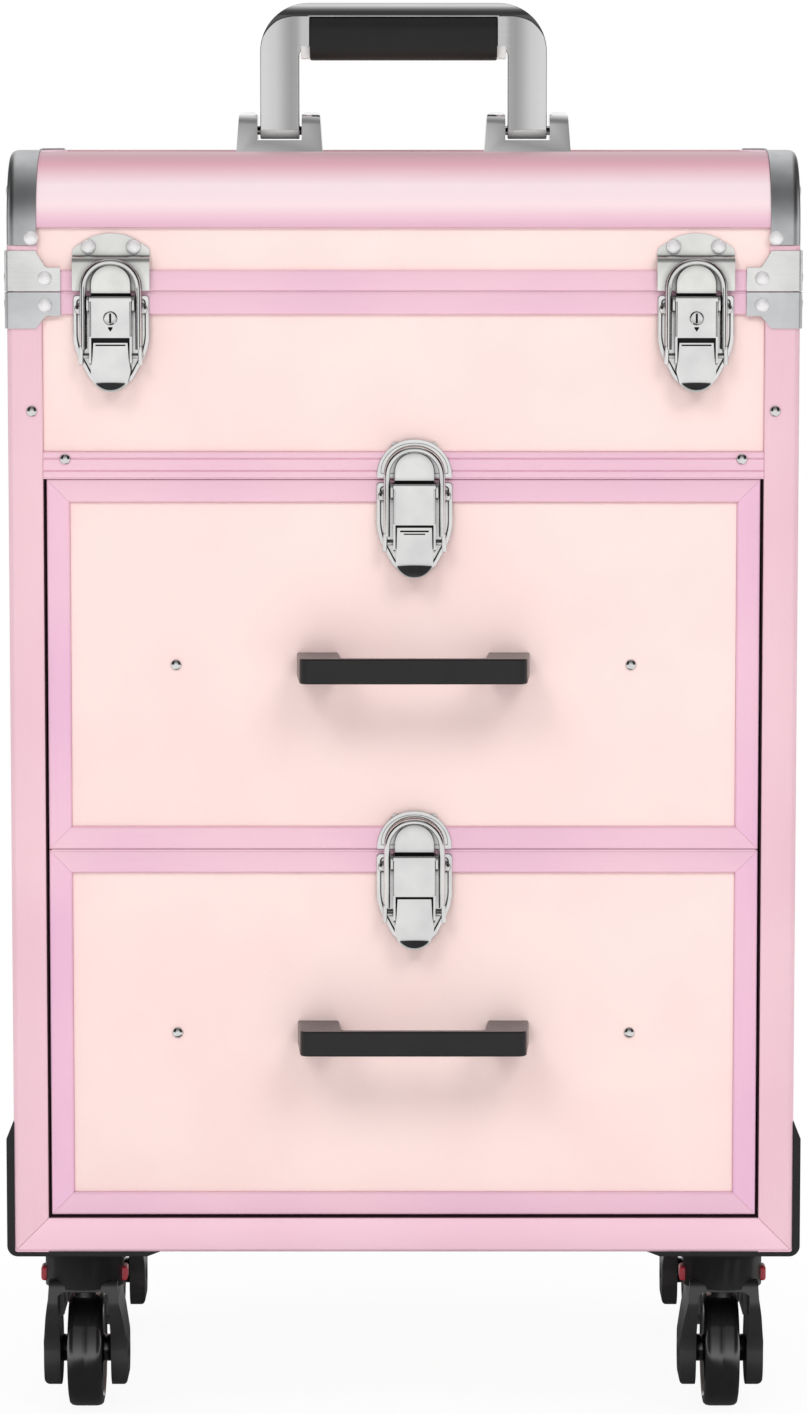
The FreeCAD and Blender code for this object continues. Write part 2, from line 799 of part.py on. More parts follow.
def lid_corner_caps():
    """Pressed steel caps over the ends of the quarter-round profiles."""
    outer = cap_form("cap_outer", "cap_wall", "cap_low", "lid_top - cap_heel",
                     "front + bullnose_reach", "-half_width", "-half_width + cap_width",
                     "lid_edge_round")
    inner = cap_form("cap_inner", "0", "cap_low - overrun", "cap_low - overrun",
                     "front + bullnose_reach + overrun", "-half_width + cap_wall",
                     "-half_width + cap_width + overrun", "lid_edge_round - cap_wall")
    node("lid_corner_caps", *at_corners(cut("corner_cap", outer, inner)))


def lid_hardware():
    """Seam brackets on the lid and the rivets of its corners."""
    node("lid_corner_brackets",
         *at_corners(seam_bracket("lid_bracket", "lid_bottom", "+", "lid_bracket_height")))
    face = rivet("cap_rivet", "front", ("-half_width + cap_rivet_inset", "front - cap_wall",
                                        "cap_low + cap_rivet_rise"))
    side = rivet("cap_side_rivet", "left", ("-half_width", "front + cap_side_rivet_inset",
                                            "lid_top - cap_heel"))
    brackets = bracket_rivets("lid_rivet", "lid_bottom + bracket_rivet_rise")
    node("lid_rivets", *at_corners(face, side, *brackets))


def hinge_leaf(name, way, knuckles, bore):
    """A plate beside the seam with rolled knuckles round the pin."""
    half = "hinge_width / 2"
    clear = "(hinge_barrel_radius + hinge_gap)"
    near, far = f"seam {way} {clear}", f"seam {way} ({clear} + hinge_leaf_height)"
    levels = (near, far) if way == "+" else (far, near)
    deep = ("back", "back + hinge_wall")
    parts = [box(name + "_plate", (f"-{half}", half), deep, levels)]
    for number, (low, high) in enumerate(knuckles):
        reach = ("seam", near) if way == "+" else (near, "seam")
        parts.append(box(f"{name}_tab_{number}", (low, high), deep, reach))
        parts.append(rod(f"{name}_roll_{number}", "right", (low, "hinge_y", "seam"),
                         "hinge_barrel_radius", f"({high}) - ({low})"))
        web = ("back + hinge_wall / 2", "hinge_y")
        wrap = ("seam", "seam + hinge_wall") if way == "+" else ("seam - hinge_wall", "seam")
        parts.append(box(f"{name}_web_{number}", (low, high), web, wrap))
    hole = rod(name + "_bore", "right", (f"-{half}", "hinge_y", "seam"), bore, "hinge_width")
    return seat(cut(name, join(name + "_blank", *parts), hole), x="-hinge_offset")


def hinges():
    """Two hinges on the back of the seam, each with a pin."""
    half, inner = "hinge_width / 2", "hinge_knuckle / 2"
    outer = f"{inner} + hinge_gap"
    body_leaf = hinge_leaf("body_leaf", "-", [(f"-{half}", f"-({outer})"), (outer, half)],
                           "hinge_pin_radius")
    lid_leaf = hinge_leaf("lid_leaf", "+", [(f"-{inner}", inner)],
                          "hinge_pin_radius + hinge_gap")
    pin = rod("hinge_pin", "right", (f"-hinge_offset - {half}", "hinge_y", "seam"),
              "hinge_pin_radius", "hinge_width")
    node("body_hinge_leaves", *both_sides(body_leaf, pin))
    node("lid_hinge_leaves", *both_sides(lid_leaf))


# Draw latches, made round a point on the front face at the seam, then set in place


def latch_base(name):
    """The riveted base plate, with ears that carry the lever's pin."""
    edge, nose = "latch_width / 2", "latch_nose_width / 2"
    plate = prism(name + "_plate", "XZ",
                  [(f"-{nose}", "-latch_nose_drop", "latch_nose_round"),
                   (nose, "-latch_nose_drop", "latch_nose_round"),
                   (edge, "-latch_shoulder_drop", "latch_shoulder_round"),
                   (edge, "-latch_top_drop"),
                   (f"-{edge}", "-latch_top_drop"),
                   (f"-{edge}", "-latch_shoulder_drop", "latch_shoulder_round")],
                  "-latch_wall", "0")
    margin = "latch_pad_margin"
    pad = prism(name + "_pad", "XZ",
                [(f"-{nose} + {margin}", f"-latch_nose_drop + {margin}"),
                 (f"{nose} - {margin}", f"-latch_nose_drop + {margin}"),
                 (f"{edge} - {margin}", "-latch_shoulder_drop"),
                 (f"{edge} - {margin}", "-latch_pad_drop"),
                 (f"-{edge} + {margin}", "-latch_pad_drop"),
                 (f"-{edge} + {margin}", "-latch_shoulder_drop")],
                "0", "frame_wall")
    ear_out = [("-latch_wall", "-latch_ear_drop"), ("-latch_wall", "-latch_top_drop"),
               ("-latch_ear_reach", "-latch_top_drop", "latch_ear_round"),
               ("-latch_ear_reach", "-latch_ear_drop", "latch_ear_round")]
    inner = "lever_width / 2 + lever_side_gap"
    ear = prism(name + "_ear", "YZ", ear_out, inner, f"{inner} + latch_wall")
    steel = join(name + "_stamping", plate, pad, *both_sides(ear))
    width = f"2 * ({inner} + latch_wall)"
    pin = rod(name + "_pin", "right", (f"-({inner} + latch_wall)", "-lever_pivot_out",
                                       "-lever_pivot_drop"), "lever_pivot_radius", width)
    heads = both_sides(rivet(name + "_rivet", "front",
                             ("bail_half_width + bail_wire", "-latch_wall", "-latch_ear_drop"),
                             "small_rivet_width", "small_rivet_height"))
    return [cut(name + "_drilled", steel, pin), pin, *heads]


def latch_lever(name, keyed):
    """The sprung lever: a channel over the pin with a thumb tab below."""
    half = "lever_width / 2"
    web = prism(name + "_web", "XZ", [(f"-{half}", "-lever_web_drop"), (half, "-lever_web_drop"),
                                      (half, "-lever_top_drop"), (f"-{half}", "-lever_top_drop")],
                "-lever_front", "-lever_front + lever_wall")
    cheek_outline = [("-lever_front", "-lever_cheek_drop", "lever_round"),
                     ("-lever_cheek_back", "-lever_cheek_drop", "lever_round"),
                     ("-lever_back", "-lever_web_drop"),
                     ("-lever_back", "-lever_top_drop", "lever_round"),
                     ("-lever_front", "-lever_top_drop", "lever_wall")]
    cheek = prism(name + "_cheek", "YZ", cheek_outline, f"{half} - lever_wall", half)
    root = "-lever_front + lever_wall / 2"
    tab_outline = [(root, "-lever_web_drop - tab_slot"),
                   (root, "-tab_bend_drop", "tab_bend_round"),
                   (f"{root} - tab_flare", "-tab_end_drop"),
                   (f"{root} - tab_flare + tab_wall", "-tab_end_drop - tab_wall / 2"),
                   (f"{root} + tab_wall", "-tab_bend_drop", "tab_bend_round"),
                   (f"{root} + tab_wall", "-lever_web_drop - tab_slot")]
    tab = prism(name + "_tab", "YZ", tab_outline, "-tab_width / 2", "tab_width / 2")
    span = "lever_width + 2 * lever_wall"
    start = f"-({half} + lever_wall)"
    holes = [rod(name + "_pin_hole", "right", (start, "-lever_pivot_out", "-lever_pivot_drop"),
                 "lever_pivot_radius + pivot_gap", span),
             rod(name + "_bail_hole", "right", (start, "-bail_out", "-bail_pivot_drop"),
                 "bail_wire + pivot_gap", span)]
    if keyed:
        depth = "3 * lever_wall"
        mouth = "-lever_front + 2 * lever_wall"
        holes.append(rod(name + "_plug_hole", "front", ("0", mouth, "-key_plug_drop"),
                         "key_plug_radius + pivot_gap", depth))
        holes.append(rod(name + "_notch", "front", ("0", mouth, "-key_notch_drop"),
                         "key_notch_radius", depth))
    return cut(name, join(name + "_blank", web, *both_sides(cheek), tab), *holes)


def latch_bail(name):
    """The wire loop that reaches over the seam, hooked into the lever's cheeks."""
    body = doc.addObject("PartDesign::Body", name + "_half")
    path = draw(sketch_on(body, "XZ", name + "_path"),
                [("0", "bail_rise"),
                 ("bail_half_width", "bail_rise", "bail_arch"),
                 ("bail_half_width", "-bail_pivot_drop", "bail_hook_round"),
                 ("bail_tip", "-bail_pivot_drop")], closed=False)
    ring = sketch_on(body, "YZ", name + "_ring")
    centre = Vector(0, value("bail_rise"), 0)
    ring.addGeometry(Part.Circle(centre, Vector(0, 0, 1), value("bail_wire")), False)
    rules = [Sketcher.Constraint("Radius", 0, value("bail_wire")),
             Sketcher.Constraint("DistanceY", -1, 1, 0, 3, value("bail_rise")),
             Sketcher.Constraint("PointOnObject", 0, 3, -2)]
    for rule, text in zip(rules, ("bail_wire", "bail_rise", None)):
        number = ring.addConstraint(rule)
        if text:
            ring.setExpression(f"Constraints[{number}]", full(text))
    doc.recompute()
    wire = body.newObject("PartDesign::AdditivePipe", name + "_wire")
    wire.Profile = ring
    wire.Spine = (path, [f"Edge{number + 1}" for number in range(len(path.Shape.Edges))])
    seat(body, y="-bail_out")
    return join(name, *both_sides(body))


def key_plug(name):
    """The lock's round plug with its key slot."""
    barrel = rod(name + "_barrel", "back", ("0", "-lever_front - key_plug_proud",
                                            "-key_plug_drop"), "key_plug_radius",
                 "key_plug_length")
    slot = box(name + "_slot", ("-key_slot_width / 2", "key_slot_width / 2"),
               ("-lever_front - key_plug_proud",
                "-lever_front - key_plug_proud + key_slot_depth"),
               ("-key_plug_drop - key_slot_length / 2", "-key_plug_drop + key_slot_length / 2"))
    return cut(name, barrel, slot)


def boss(name):
    """The raised tongue inside the bail's loop."""
    half, crown = "boss_width / 2", "boss_round"
    outline = [(f"-{half}", "strike_foot_rise"), (half, "strike_foot_rise"),
               (half, "boss_rise", crown), (f"-{half}", "boss_rise", crown)]
    return prism(name, "XZ", outline, "-strike_wall - boss_height", "-strike_wall / 2")


def lid_strike(name):
    """The lid's strike: it steps back from the rim rail to the panel, under an arched top."""
    half = "lid_strike_width / 2"
    step = "lid_strike_step_rise"
    lower = box(name + "_lower", (f"-{half}", half), ("-strike_wall", "0"),
                ("strike_foot_rise", step))
    bend = box(name + "_bend", (f"-{half}", half), ("-strike_wall", "frame_wall"),
               (f"{step} - strike_wall", step))
    corner = "lid_strike_corner_round"
    upper = prism(name + "_upper", "XZ",
                  [(f"-{half}", f"{step} - strike_wall"), (half, f"{step} - strike_wall"),
                   (half, "lid_strike_shoulder_rise", corner),
                   ("0", "lid_strike_peak_rise", "lid_strike_crown_round"),
                   (f"-{half}", "lid_strike_shoulder_rise", corner)],
                  "frame_wall - strike_wall", "frame_wall")
    plate = join(name + "_plate", lower, bend, upper, boss(name + "_boss"))
    heads = both_sides(rivet(name + "_rivet", "front",
                             ("strike_rivet_offset", "frame_wall - strike_wall",
                              "strike_rivet_rise")))
    return [plate, *heads]


def drawer_strike(name):
    """A drawer's strike: a flat arched plate on the rail above, packed out to the panel."""
    half, pad = "drawer_strike_width / 2", "drawer_strike_pad_width / 2"
    plate = prism(name + "_plate", "XZ",
                  [(f"-{half}", "strike_foot_rise"), (half, "strike_foot_rise"),
                   (half, "drawer_strike_rise", "drawer_strike_round"),
                   (f"-{half}", "drawer_strike_rise", "drawer_strike_round")],
                  "-strike_wall", "0")
    packing = box(name + "_pad", (f"-{pad}", pad), ("0", "frame_wall"),
                  ("middle_rail_height + seam_gap", "drawer_strike_pad_rise"))
    return join(name, plate, packing, boss(name + "_boss"))


LATCHES = {
    "left_lid": ("-lid_latch_offset", "seam", True),
    "right_lid": ("lid_latch_offset", "seam", True),
    "upper_drawer": ("drawer_latch_offset", "upper_drawer_high + drawer_top_gap / 2", False),
    "lower_drawer": ("drawer_latch_offset", "lower_drawer_high + drawer_between_gap / 2", False),
}


def draw_latches():
    """Four draw latches: two keyed on the lid's seam and one at the top of each drawer."""
    bases, strikes = {}, {}
    for name, (across, level, keyed) in LATCHES.items():
        spot = (across, "front", level)
        bases[name] = seat(group(name + "_base", *latch_base(name + "_base_of")), *spot)
        node(name + "_latch_lever", seat(latch_lever(name + "_lever", keyed), *spot))
        node(name + "_latch_bail", seat(latch_bail(name + "_bail"), *spot))
        if keyed:
            node(name + "_key_plug", seat(key_plug(name + "_plug"), *spot))
            strikes[name] = seat(group(name + "_strike", *lid_strike(name + "_strike_of")), *spot)
        else:
            strikes[name] = seat(drawer_strike(name + "_strike"), *spot)
    node("lid_latch_bases", bases["left_lid"], bases["right_lid"])
    node("lid_strikes", strikes["left_lid"], strikes["right_lid"])
    node("upper_drawer_latch_base", bases["upper_drawer"])
    node("upper_drawer_strike", strikes["upper_drawer"])
    node("lower_drawer_latch_base", bases["lower_drawer"])
    node("lower_drawer_strike", strikes["lower_drawer"])


# Drawers


def mitred_frame(name, low, high):
    """Four rails with mitred ends round a drawer's panel."""
    outer, inner = "drawer_half", "(drawer_half - drawer_frame_width)"
    in_low, in_high = f"{low} + drawer_frame_width", f"{high} - drawer_frame_width"
    shapes = {
        "foot": [(f"-{outer}", low), (outer, low), (inner, in_low), (f"-{inner}", in_low)],
        "head": [(f"-{inner}", in_high), (inner, in_high), (outer, high), (f"-{outer}", high)],
        "left": [(f"-{outer}", low), (f"-{inner}", in_low), (f"-{inner}", in_high),
                 (f"-{outer}", high)],
        "right": [(outer, low), (outer, high), (inner, in_high), (inner, in_low)],
    }
    return [prism(f"{name}_{side}", "XZ", corners, "front", "drawer_back")
            for side, corners in shapes.items()]


def drawer_box(name, low):
    """The open box behind a drawer's front."""
    foot = f"{low} + box_lift"
    outer = box(name + "_outer", ("-box_half", "box_half"), ("drawer_back", "box_back"),
                (foot, f"{foot} + box_height"))
    inner = box(name + "_inner", ("-box_half + box_wall", "box_half - box_wall"),
                ("drawer_back + box_wall", "box_back - box_wall"),
                (f"{foot} + box_floor", f"{foot} + box_height + overrun"))
    return cut(name, outer, inner)


def drawer_pull(name, level):
    """A bridge pull: a flat bar on two feet that lean outwards to the panel."""
    tip, foot = "pull_length / 2", "pull_foot_spread / 2"
    outer, inner = "front - pull_projection", "front - pull_projection + pull_bar"
    plan = [(f"-{foot}", "panel_front"),
            (f"-{tip}", outer, "pull_round"),
            (tip, outer, "pull_round"),
            (foot, "panel_front"),
            (f"{foot} - pull_foot", "panel_front"),
            (f"{tip} - pull_foot", inner, "pull_inner_round"),
            (f"-{tip} + pull_foot", inner, "pull_inner_round"),
            (f"-{foot} + pull_foot", "panel_front")]
    bar = prism(name, "XY", plan, f"{level} - pull_height / 2", f"{level} + pull_height / 2")
    return seat(bar, x="pull_offset")


def runner(name, level):
    """A fixed channel on its spacer and the member that slides in it, on the left side."""
    deep = ("runner_front", "runner_back")
    half = "runner_height / 2"
    mouth, web = "-runner_mouth", "-(runner_side - runner_wall)"
    low, high = f"{level} - {half}", f"{level} + {half}"
    channel = prism(name + "_channel", "XZ",
                    [("-runner_side", low), (mouth, low), (mouth, f"{low} + runner_wall"),
                     (web, f"{low} + runner_wall"), (web, f"{high} - runner_wall"),
                     (mouth, f"{high} - runner_wall"), (mouth, high), ("-runner_side", high)],
                    *deep)
    spacer = box(name + "_spacer", ("-inside_side", "-runner_side"), deep, (low, high))
    side, tip = "-box_half", "-(runner_side - runner_wall - runner_gap)"
    inset = "(runner_wall + runner_gap)"
    low, high = f"{low} + {inset}", f"{high} - {inset}"
    member = prism(name + "_member", "XZ",
                   [(side, low), (side, high), (tip, high), (tip, f"{high} - runner_wall"),
                    (f"{side} - runner_wall", f"{high} - runner_wall"),
                    (f"{side} - runner_wall", f"{low} + runner_wall"),
                    (tip, f"{low} + runner_wall"), (tip, low)],
                   *deep)
    return both_sides(channel, spacer), both_sides(member)


def drawers():
    """Two alike drawers on side runners."""
    fixed = []
    for name in ("lower_drawer", "upper_drawer"):
        low, high = name + "_low", name + "_high"
        level = f"({low} + {high}) / 2"
        inner = "drawer_half - drawer_frame_width"
        node(name + "_front_frame", *mitred_frame(name + "_rail", low, high))
        node(name + "_front_panel",
             box(name + "_panel", (f"-({inner})", inner), ("panel_front", "drawer_back"),
                 (f"{low} + drawer_frame_width", f"{high} - drawer_frame_width")))
        node(name + "_box", drawer_box(name + "_body", low))
        node(name + "_pull", drawer_pull(name + "_bar", level))
        node(name + "_rivets",
             *both_sides(rivet(name + "_rivet", "front",
                               ("drawer_half - drawer_rivet_inset", "panel_front", level),
                               "small_rivet_width", "small_rivet_height")))
        channels, members = runner(name + "_runner", f"{low} + box_lift + box_height / 2")
        fixed.extend(channels)
        node(name + "_slides", *members)
    node("runner_channels", *fixed)


# Carry handle on the lid


def carry_handle():
    """Two clevis brackets on the lid, a flat bow pinned between their ears and its grip."""
    foot, top, gap = "clevis_foot_width / 2", "clevis_top_width / 2", "clevis_gap / 2"
    head, saddle = "lid_top + clevis_rise", "lid_top + clevis_saddle_rise"
    small = "clevis_ear_round"
    face = prism("clevis_face", "XZ",
                 [(f"-{foot}", "lid_panel_top"), (foot, "lid_panel_top"), (top, head, small),
                  (gap, head, small), (gap, saddle), (f"-{gap}", saddle),
                  (f"-{gap}", head, small), (f"-{top}", head, small)],
                 "middle - clevis_foot_depth / 2", "middle + clevis_foot_depth / 2")
    deep, high = "clevis_foot_depth / 2", "clevis_top_depth / 2"
    side = prism("clevis_side", "YZ",
                 [(f"middle - {deep}", "lid_panel_top"), (f"middle + {deep}", "lid_panel_top"),
                  (f"middle + {high}", head, "clevis_round"),
                  (f"middle - {high}", head, "clevis_round")], f"-{foot}", foot)
    ears = shared("clevis_ears", face, side)
    pin = rod("carry_pin", "right", (f"-{top} + {small}", "middle", "carry_pivot"),
              "carry_pin_radius", f"2 * ({top} - {small})")
    drilled = cut("clevis_drilled", ears, pin)
    clevis = seat(group("clevis", drilled, pin), x="-carry_spacing / 2")
    node("carry_handle_brackets", *both_sides(clevis))

    outer = "(carry_spacing + carry_arm_width) / 2"
    inner = "(carry_spacing - carry_arm_width) / 2"
    grip = "grip_length / 2"
    under_band, under_grip = "carry_top - carry_band", "carry_top - carry_band - grip_height"
    bow = prism("bow", "XZ",
                [(f"-{outer}", "carry_pivot"), (f"-{outer}", "carry_top", "carry_round"),
                 (outer, "carry_top", "carry_round"), (outer, "carry_pivot"),
                 (inner, "carry_pivot"), (inner, under_grip), (grip, under_grip),
                 (grip, under_band), (f"-{grip}", under_band), (f"-{grip}", under_grip),
                 (f"-{inner}", under_grip), (f"-{inner}", "carry_pivot")],
                "middle - carry_thickness / 2", "middle + carry_thickness / 2")
    eyes = both_sides(rod("bow_eye", "right", (f"-{outer}", "middle", "carry_pivot"),
                          "carry_thickness / 2", "carry_arm_width"))
    bore = rod("bow_bore", "right", (f"-{outer}", "middle", "carry_pivot"),
               "carry_pin_radius + pivot_gap", "carry_spacing + carry_arm_width")
    node("carry_handle_bow", cut("bow_bored", join("bow_blank", bow, *eyes), bore))

    block = prism("grip_block", "XZ",
                  [(f"-{grip}", under_grip), (grip, under_grip), (grip, under_band),
                   (f"-{grip}", under_band)],
                  "middle - grip_depth / 2", "middle + grip_depth / 2")
    node("carry_handle_grip", rounded(block, "grip_round", lambda edge: runs_along(edge, "x")))


# Casters


def caster_mounts():
    """Black corner brackets with a housing for each caster, and the housings' release tabs."""
    out, under = "-half_width - corner_wall", "bottom - corner_floor"
    section = [("-half_width + corner_reach", "bottom"),
               ("-half_width", "bottom"),
               ("-half_width", "bottom + corner_side_height"),
               (out, "bottom + corner_side_height - corner_bevel"),
               (out, under, "corner_round"),
               ("-half_width + corner_reach - corner_taper", under)]
    angle = prism("corner_angle", "XZ", section, "front + corner_setback",
                  "front + corner_setback + corner_depth")
    bore, bore_top = "stem_radius + stem_gap", "fork_top + stem_length + fork_gap"
    housing = turned("caster_housing", "z",
                     [("0", bore_top), (bore, bore_top), (bore, "housing_low"),
                      ("housing_radius", "housing_low"),
                      ("housing_radius", "caster_height - housing_skirt"),
                      ("housing_top_radius", "caster_height"), ("0", "caster_height")])
    seat(housing, x="-caster_x", y="front_caster_y")
    high = "caster_height - release_drop + release_height"
    broad = ("front_caster_y - release_width / 2", "front_caster_y + release_width / 2")
    tall = ("caster_height - release_drop", high)
    outer_tab = box("outer_tab", ("-caster_x - housing_radius - release_proud",
                                  "-caster_x - housing_radius + release_seat"), broad, tall)
    inner_tab = box("inner_tab", ("-caster_x + housing_radius - release_seat",
                                  "-caster_x + housing_radius + release_proud"), broad, tall)
    bracket = cut("caster_bracket", join("bracket_blank", angle, housing), outer_tab, inner_tab)
    node("caster_brackets", *at_corners(bracket))
    node("caster_release_tabs", *at_corners(outer_tab, inner_tab))


def caster_fork(name):
    """A swivelling fork with its stem and axle, about its own upright axis."""
    back, front = "wheel_trail + fork_leg_radius", "wheel_trail - fork_leg_radius"
    foot, knee = "wheel_radius - fork_leg_radius", "wheel_radius + fork_leg_radius / 3"
    side = [(front, foot, "fork_leg_round"), (back, foot, "fork_leg_round"),
            (back, knee), ("fork_back", "fork_top"), ("-fork_front", "fork_top"),
            ("-fork_front", "fork_top - fork_shoulder"), (front, knee)]
    half, slot = "fork_width / 2", "fork_slot / 2"
    legs = prism(name + "_legs", "YZ", side, f"-{half}", half)
    mouth = box(name + "_mouth", (f"-{slot}", slot), ("-fork_front - overrun",
                                                      f"{back} + overrun"),
                (f"{foot} - overrun", "fork_top - fork_crown"))
    stem = rod(name + "_stem", "up", ("0", "0", "fork_top - fork_crown"), "stem_radius",
               "stem_length + fork_crown")
    axle = rod(name + "_axle", "right", (f"-{half}", "wheel_trail", "wheel_radius"),
               "axle_radius", "fork_width")
    return [cut(name + "_body", join(name + "_blank", legs, stem), mouth, axle), axle]


def caster_wheel(name):
    """A tyre with rounded shoulders and a hub that nearly fills the fork."""
    half, hub = "wheel_width / 2", "fork_slot / 2 - wheel_gap"
    bore, rim = "axle_radius + wheel_gap", "wheel_radius"
    return turned(name, "x",
                  [(f"-({hub})", bore), (hub, bore), (hub, "hub_radius"), (half, "hub_radius"),
                   (half, rim, "wheel_round"), (f"-{half}", rim, "wheel_round"),
                   (f"-{half}", "hub_radius"), (f"-({hub})", "hub_radius")])


def casters():
    """Four swivel casters, all trailing backwards."""
    for end in ("front", "rear"):
        for side, sign in (("left", "-"), ("right", "")):
            name = f"{end}_{side}_caster"
            x, y = sign + "caster_x", f"{end}_caster_y"
            node(name + "_fork", *caster_fork(name + "_fork_of"))
            seat(nodes[name + "_fork"], x, y)
            wheel = caster_wheel(name + "_tyre")
            node(name + "_wheel", seat(wheel, x, f"{y} + wheel_trail", "wheel_radius"))


# Telescopic handle


def tube_outline(inset):
    """The left tube's outline, drawn in from the sleeve's by the same amount all round."""
    across, deep = f"(tube_width / 2 - {inset})", f"(tube_depth / 2 - {inset})"
    centre = "(tube_front + tube_depth / 2)"
    return rectangle((f"-tube_spacing / 2 - {across}", f"-tube_spacing / 2 + {across}"),
                     (f"{centre} - {deep}", f"{centre} + {deep}"), f"tube_round - {inset} / 2")


def tube(name, inset, low, high):
    """A hollow tube on the left, smaller than the one that it slides in."""
    outer = prism(name + "_outer", "XY", tube_outline(inset), low, high)
    inner = prism(name + "_inner", "XY", tube_outline(f"({inset} + tube_wall)"), low, high)
    return cut(name, outer, inner)


def trolley():
    """Sleeves and holders on the back, two sliding stages, the grip and its button."""
    pitch = "(tube_wall + tube_gap)"
    holders = []
    for name, low, high in (("foot_holder", "sleeve_low", "sleeve_low + holder_height"),
                            ("head_holder", "sleeve_high - holder_height", "sleeve_high")):
        blank = box(name + "_blank", ("-tube_outside - holder_side",
                                      "tube_outside + holder_side"),
                    ("panel_back", "tube_front + tube_depth + holder_wall"), (low, high))
        hole = prism(name + "_hole", "XY", tube_outline("0"), low, high)
        holders.append(cut(name, blank, *both_sides(hole)))
    node("trolley_sleeves", *both_sides(tube("sleeve", "0", "sleeve_low", "sleeve_high")),
         *holders)
    node("trolley_middle_tubes",
         *both_sides(tube("middle_tube", pitch, "sleeve_low + stage_step", "sleeve_high")))

    inset, seat_high = f"(2 * {pitch})", "trolley_grip_low + tube_seat"
    inner_tube = tube("inner_tube", inset, "sleeve_low + 2 * stage_step", seat_high)
    socket = prism("socket", "XY", tube_outline(inset), "trolley_grip_low", seat_high)
    blank = prism("trolley_bar", "YZ",
                  rectangle(("tube_front", "tube_front + trolley_grip_depth"),
                            ("trolley_grip_low", "trolley_grip_high"), "trolley_grip_round"),
                  "-tube_outside - trolley_grip_side", "tube_outside + trolley_grip_side")
    wide, broad = "button_width / 2", "button_depth / 2"
    centre = "(tube_front + trolley_grip_depth / 2)"
    floor, top = "trolley_grip_high - button_seat", "trolley_grip_high + button_proud"
    well = box("button_well", (f"-{wide} - button_gap", f"{wide} + button_gap"),
               (f"{centre} - {broad} - button_gap", f"{centre} + {broad} + button_gap"),
               (f"{floor} - button_travel - button_gap", top))
    button = prism("button", "XY",
                   rectangle((f"-{wide}", wide), (f"{centre} - {broad}", f"{centre} + {broad}"),
                             "button_round"), floor, top)
    node("trolley_grip", cut("trolley_grip_bar", blank, *both_sides(socket), well),
         *both_sides(inner_tube))
    node("trolley_button", button)


corner_posts()
body_rails()
upper_front_panel()
body_panels()
body_hardware()
lid_profiles()
lid_panels()
lid_rails()
lid_corner_caps()
lid_hardware()
hinges()
draw_latches()
drawers()
carry_handle()
caster_mounts()
casters()
trolley()

doc.recompute()
for thing in doc.Objects:
    if "Invalid" in thing.State or "Error" in thing.State:
        raise RuntimeError(f"{thing.Name} could not be made: {thing.State}")
for name, thing in nodes.items():
    if thing.Shape.isNull() or not thing.Shape.isValid() or not thing.Shape.Solids:
        raise RuntimeError(f"{name} has no sound solid")

os.makedirs("parts", exist_ok=True)
for name, thing in nodes.items():
    thing.Shape.exportStep(os.path.join("parts", thing.Label + ".step"))

whole = Part.makeCompound([thing.Shape for thing in nodes.values()]).BoundBox
print(len(nodes), "nodes,", sum(len(thing.Shape.Solids) for thing in nodes.values()), "solids")
print("box", [round(number, 2) for number in (whole.XMin, whole.YMin, whole.ZMin,
                                               whole.XMax, whole.YMax, whole.ZMax)])
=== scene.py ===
# %% [markdown]
# # Rolling makeup case
# A box of thin boards in pink anodised aluminium rails, with pressed-steel corners, draw
# latches, a folding carry handle and four swivel casters. The working model comes first, as
# a fixed frame, and every piece made here sits on it.

# %% Load the frame
import json
import math

import bmesh
import bpy
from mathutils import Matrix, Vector

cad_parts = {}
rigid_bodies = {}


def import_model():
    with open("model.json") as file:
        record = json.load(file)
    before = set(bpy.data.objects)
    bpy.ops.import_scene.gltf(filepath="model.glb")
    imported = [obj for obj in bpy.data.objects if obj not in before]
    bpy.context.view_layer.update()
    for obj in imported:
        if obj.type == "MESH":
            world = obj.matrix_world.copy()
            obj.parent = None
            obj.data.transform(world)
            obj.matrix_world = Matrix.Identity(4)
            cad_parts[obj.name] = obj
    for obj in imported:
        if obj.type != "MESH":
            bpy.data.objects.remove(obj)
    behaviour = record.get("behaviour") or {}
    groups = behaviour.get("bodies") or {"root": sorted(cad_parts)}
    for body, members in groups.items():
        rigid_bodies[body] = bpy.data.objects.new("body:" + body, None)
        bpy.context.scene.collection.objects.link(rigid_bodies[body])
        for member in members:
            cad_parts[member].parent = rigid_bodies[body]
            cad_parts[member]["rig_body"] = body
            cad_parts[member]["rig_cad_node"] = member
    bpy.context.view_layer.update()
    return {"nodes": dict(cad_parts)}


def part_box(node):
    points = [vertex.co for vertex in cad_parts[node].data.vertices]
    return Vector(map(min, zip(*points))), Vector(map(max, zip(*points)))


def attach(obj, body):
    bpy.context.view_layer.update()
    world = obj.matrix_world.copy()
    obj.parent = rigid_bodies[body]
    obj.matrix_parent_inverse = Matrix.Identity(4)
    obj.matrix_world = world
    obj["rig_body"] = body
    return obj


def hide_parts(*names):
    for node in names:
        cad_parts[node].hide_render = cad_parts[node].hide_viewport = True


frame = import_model()
nodes = frame["nodes"]
mm = 0.001

# %% [markdown]
# ## Main places
# The frame's own boxes say where the faces are, so a piece measured from them can't drift
# away. Depth grows away from the viewer, along Y, and sizes are in millimetres.

# %% Places read from the frame
def box_of(name):
    """Lowest and highest corner of a frame node, in millimetres."""
    low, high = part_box(name)
    return low / mm, high / mm


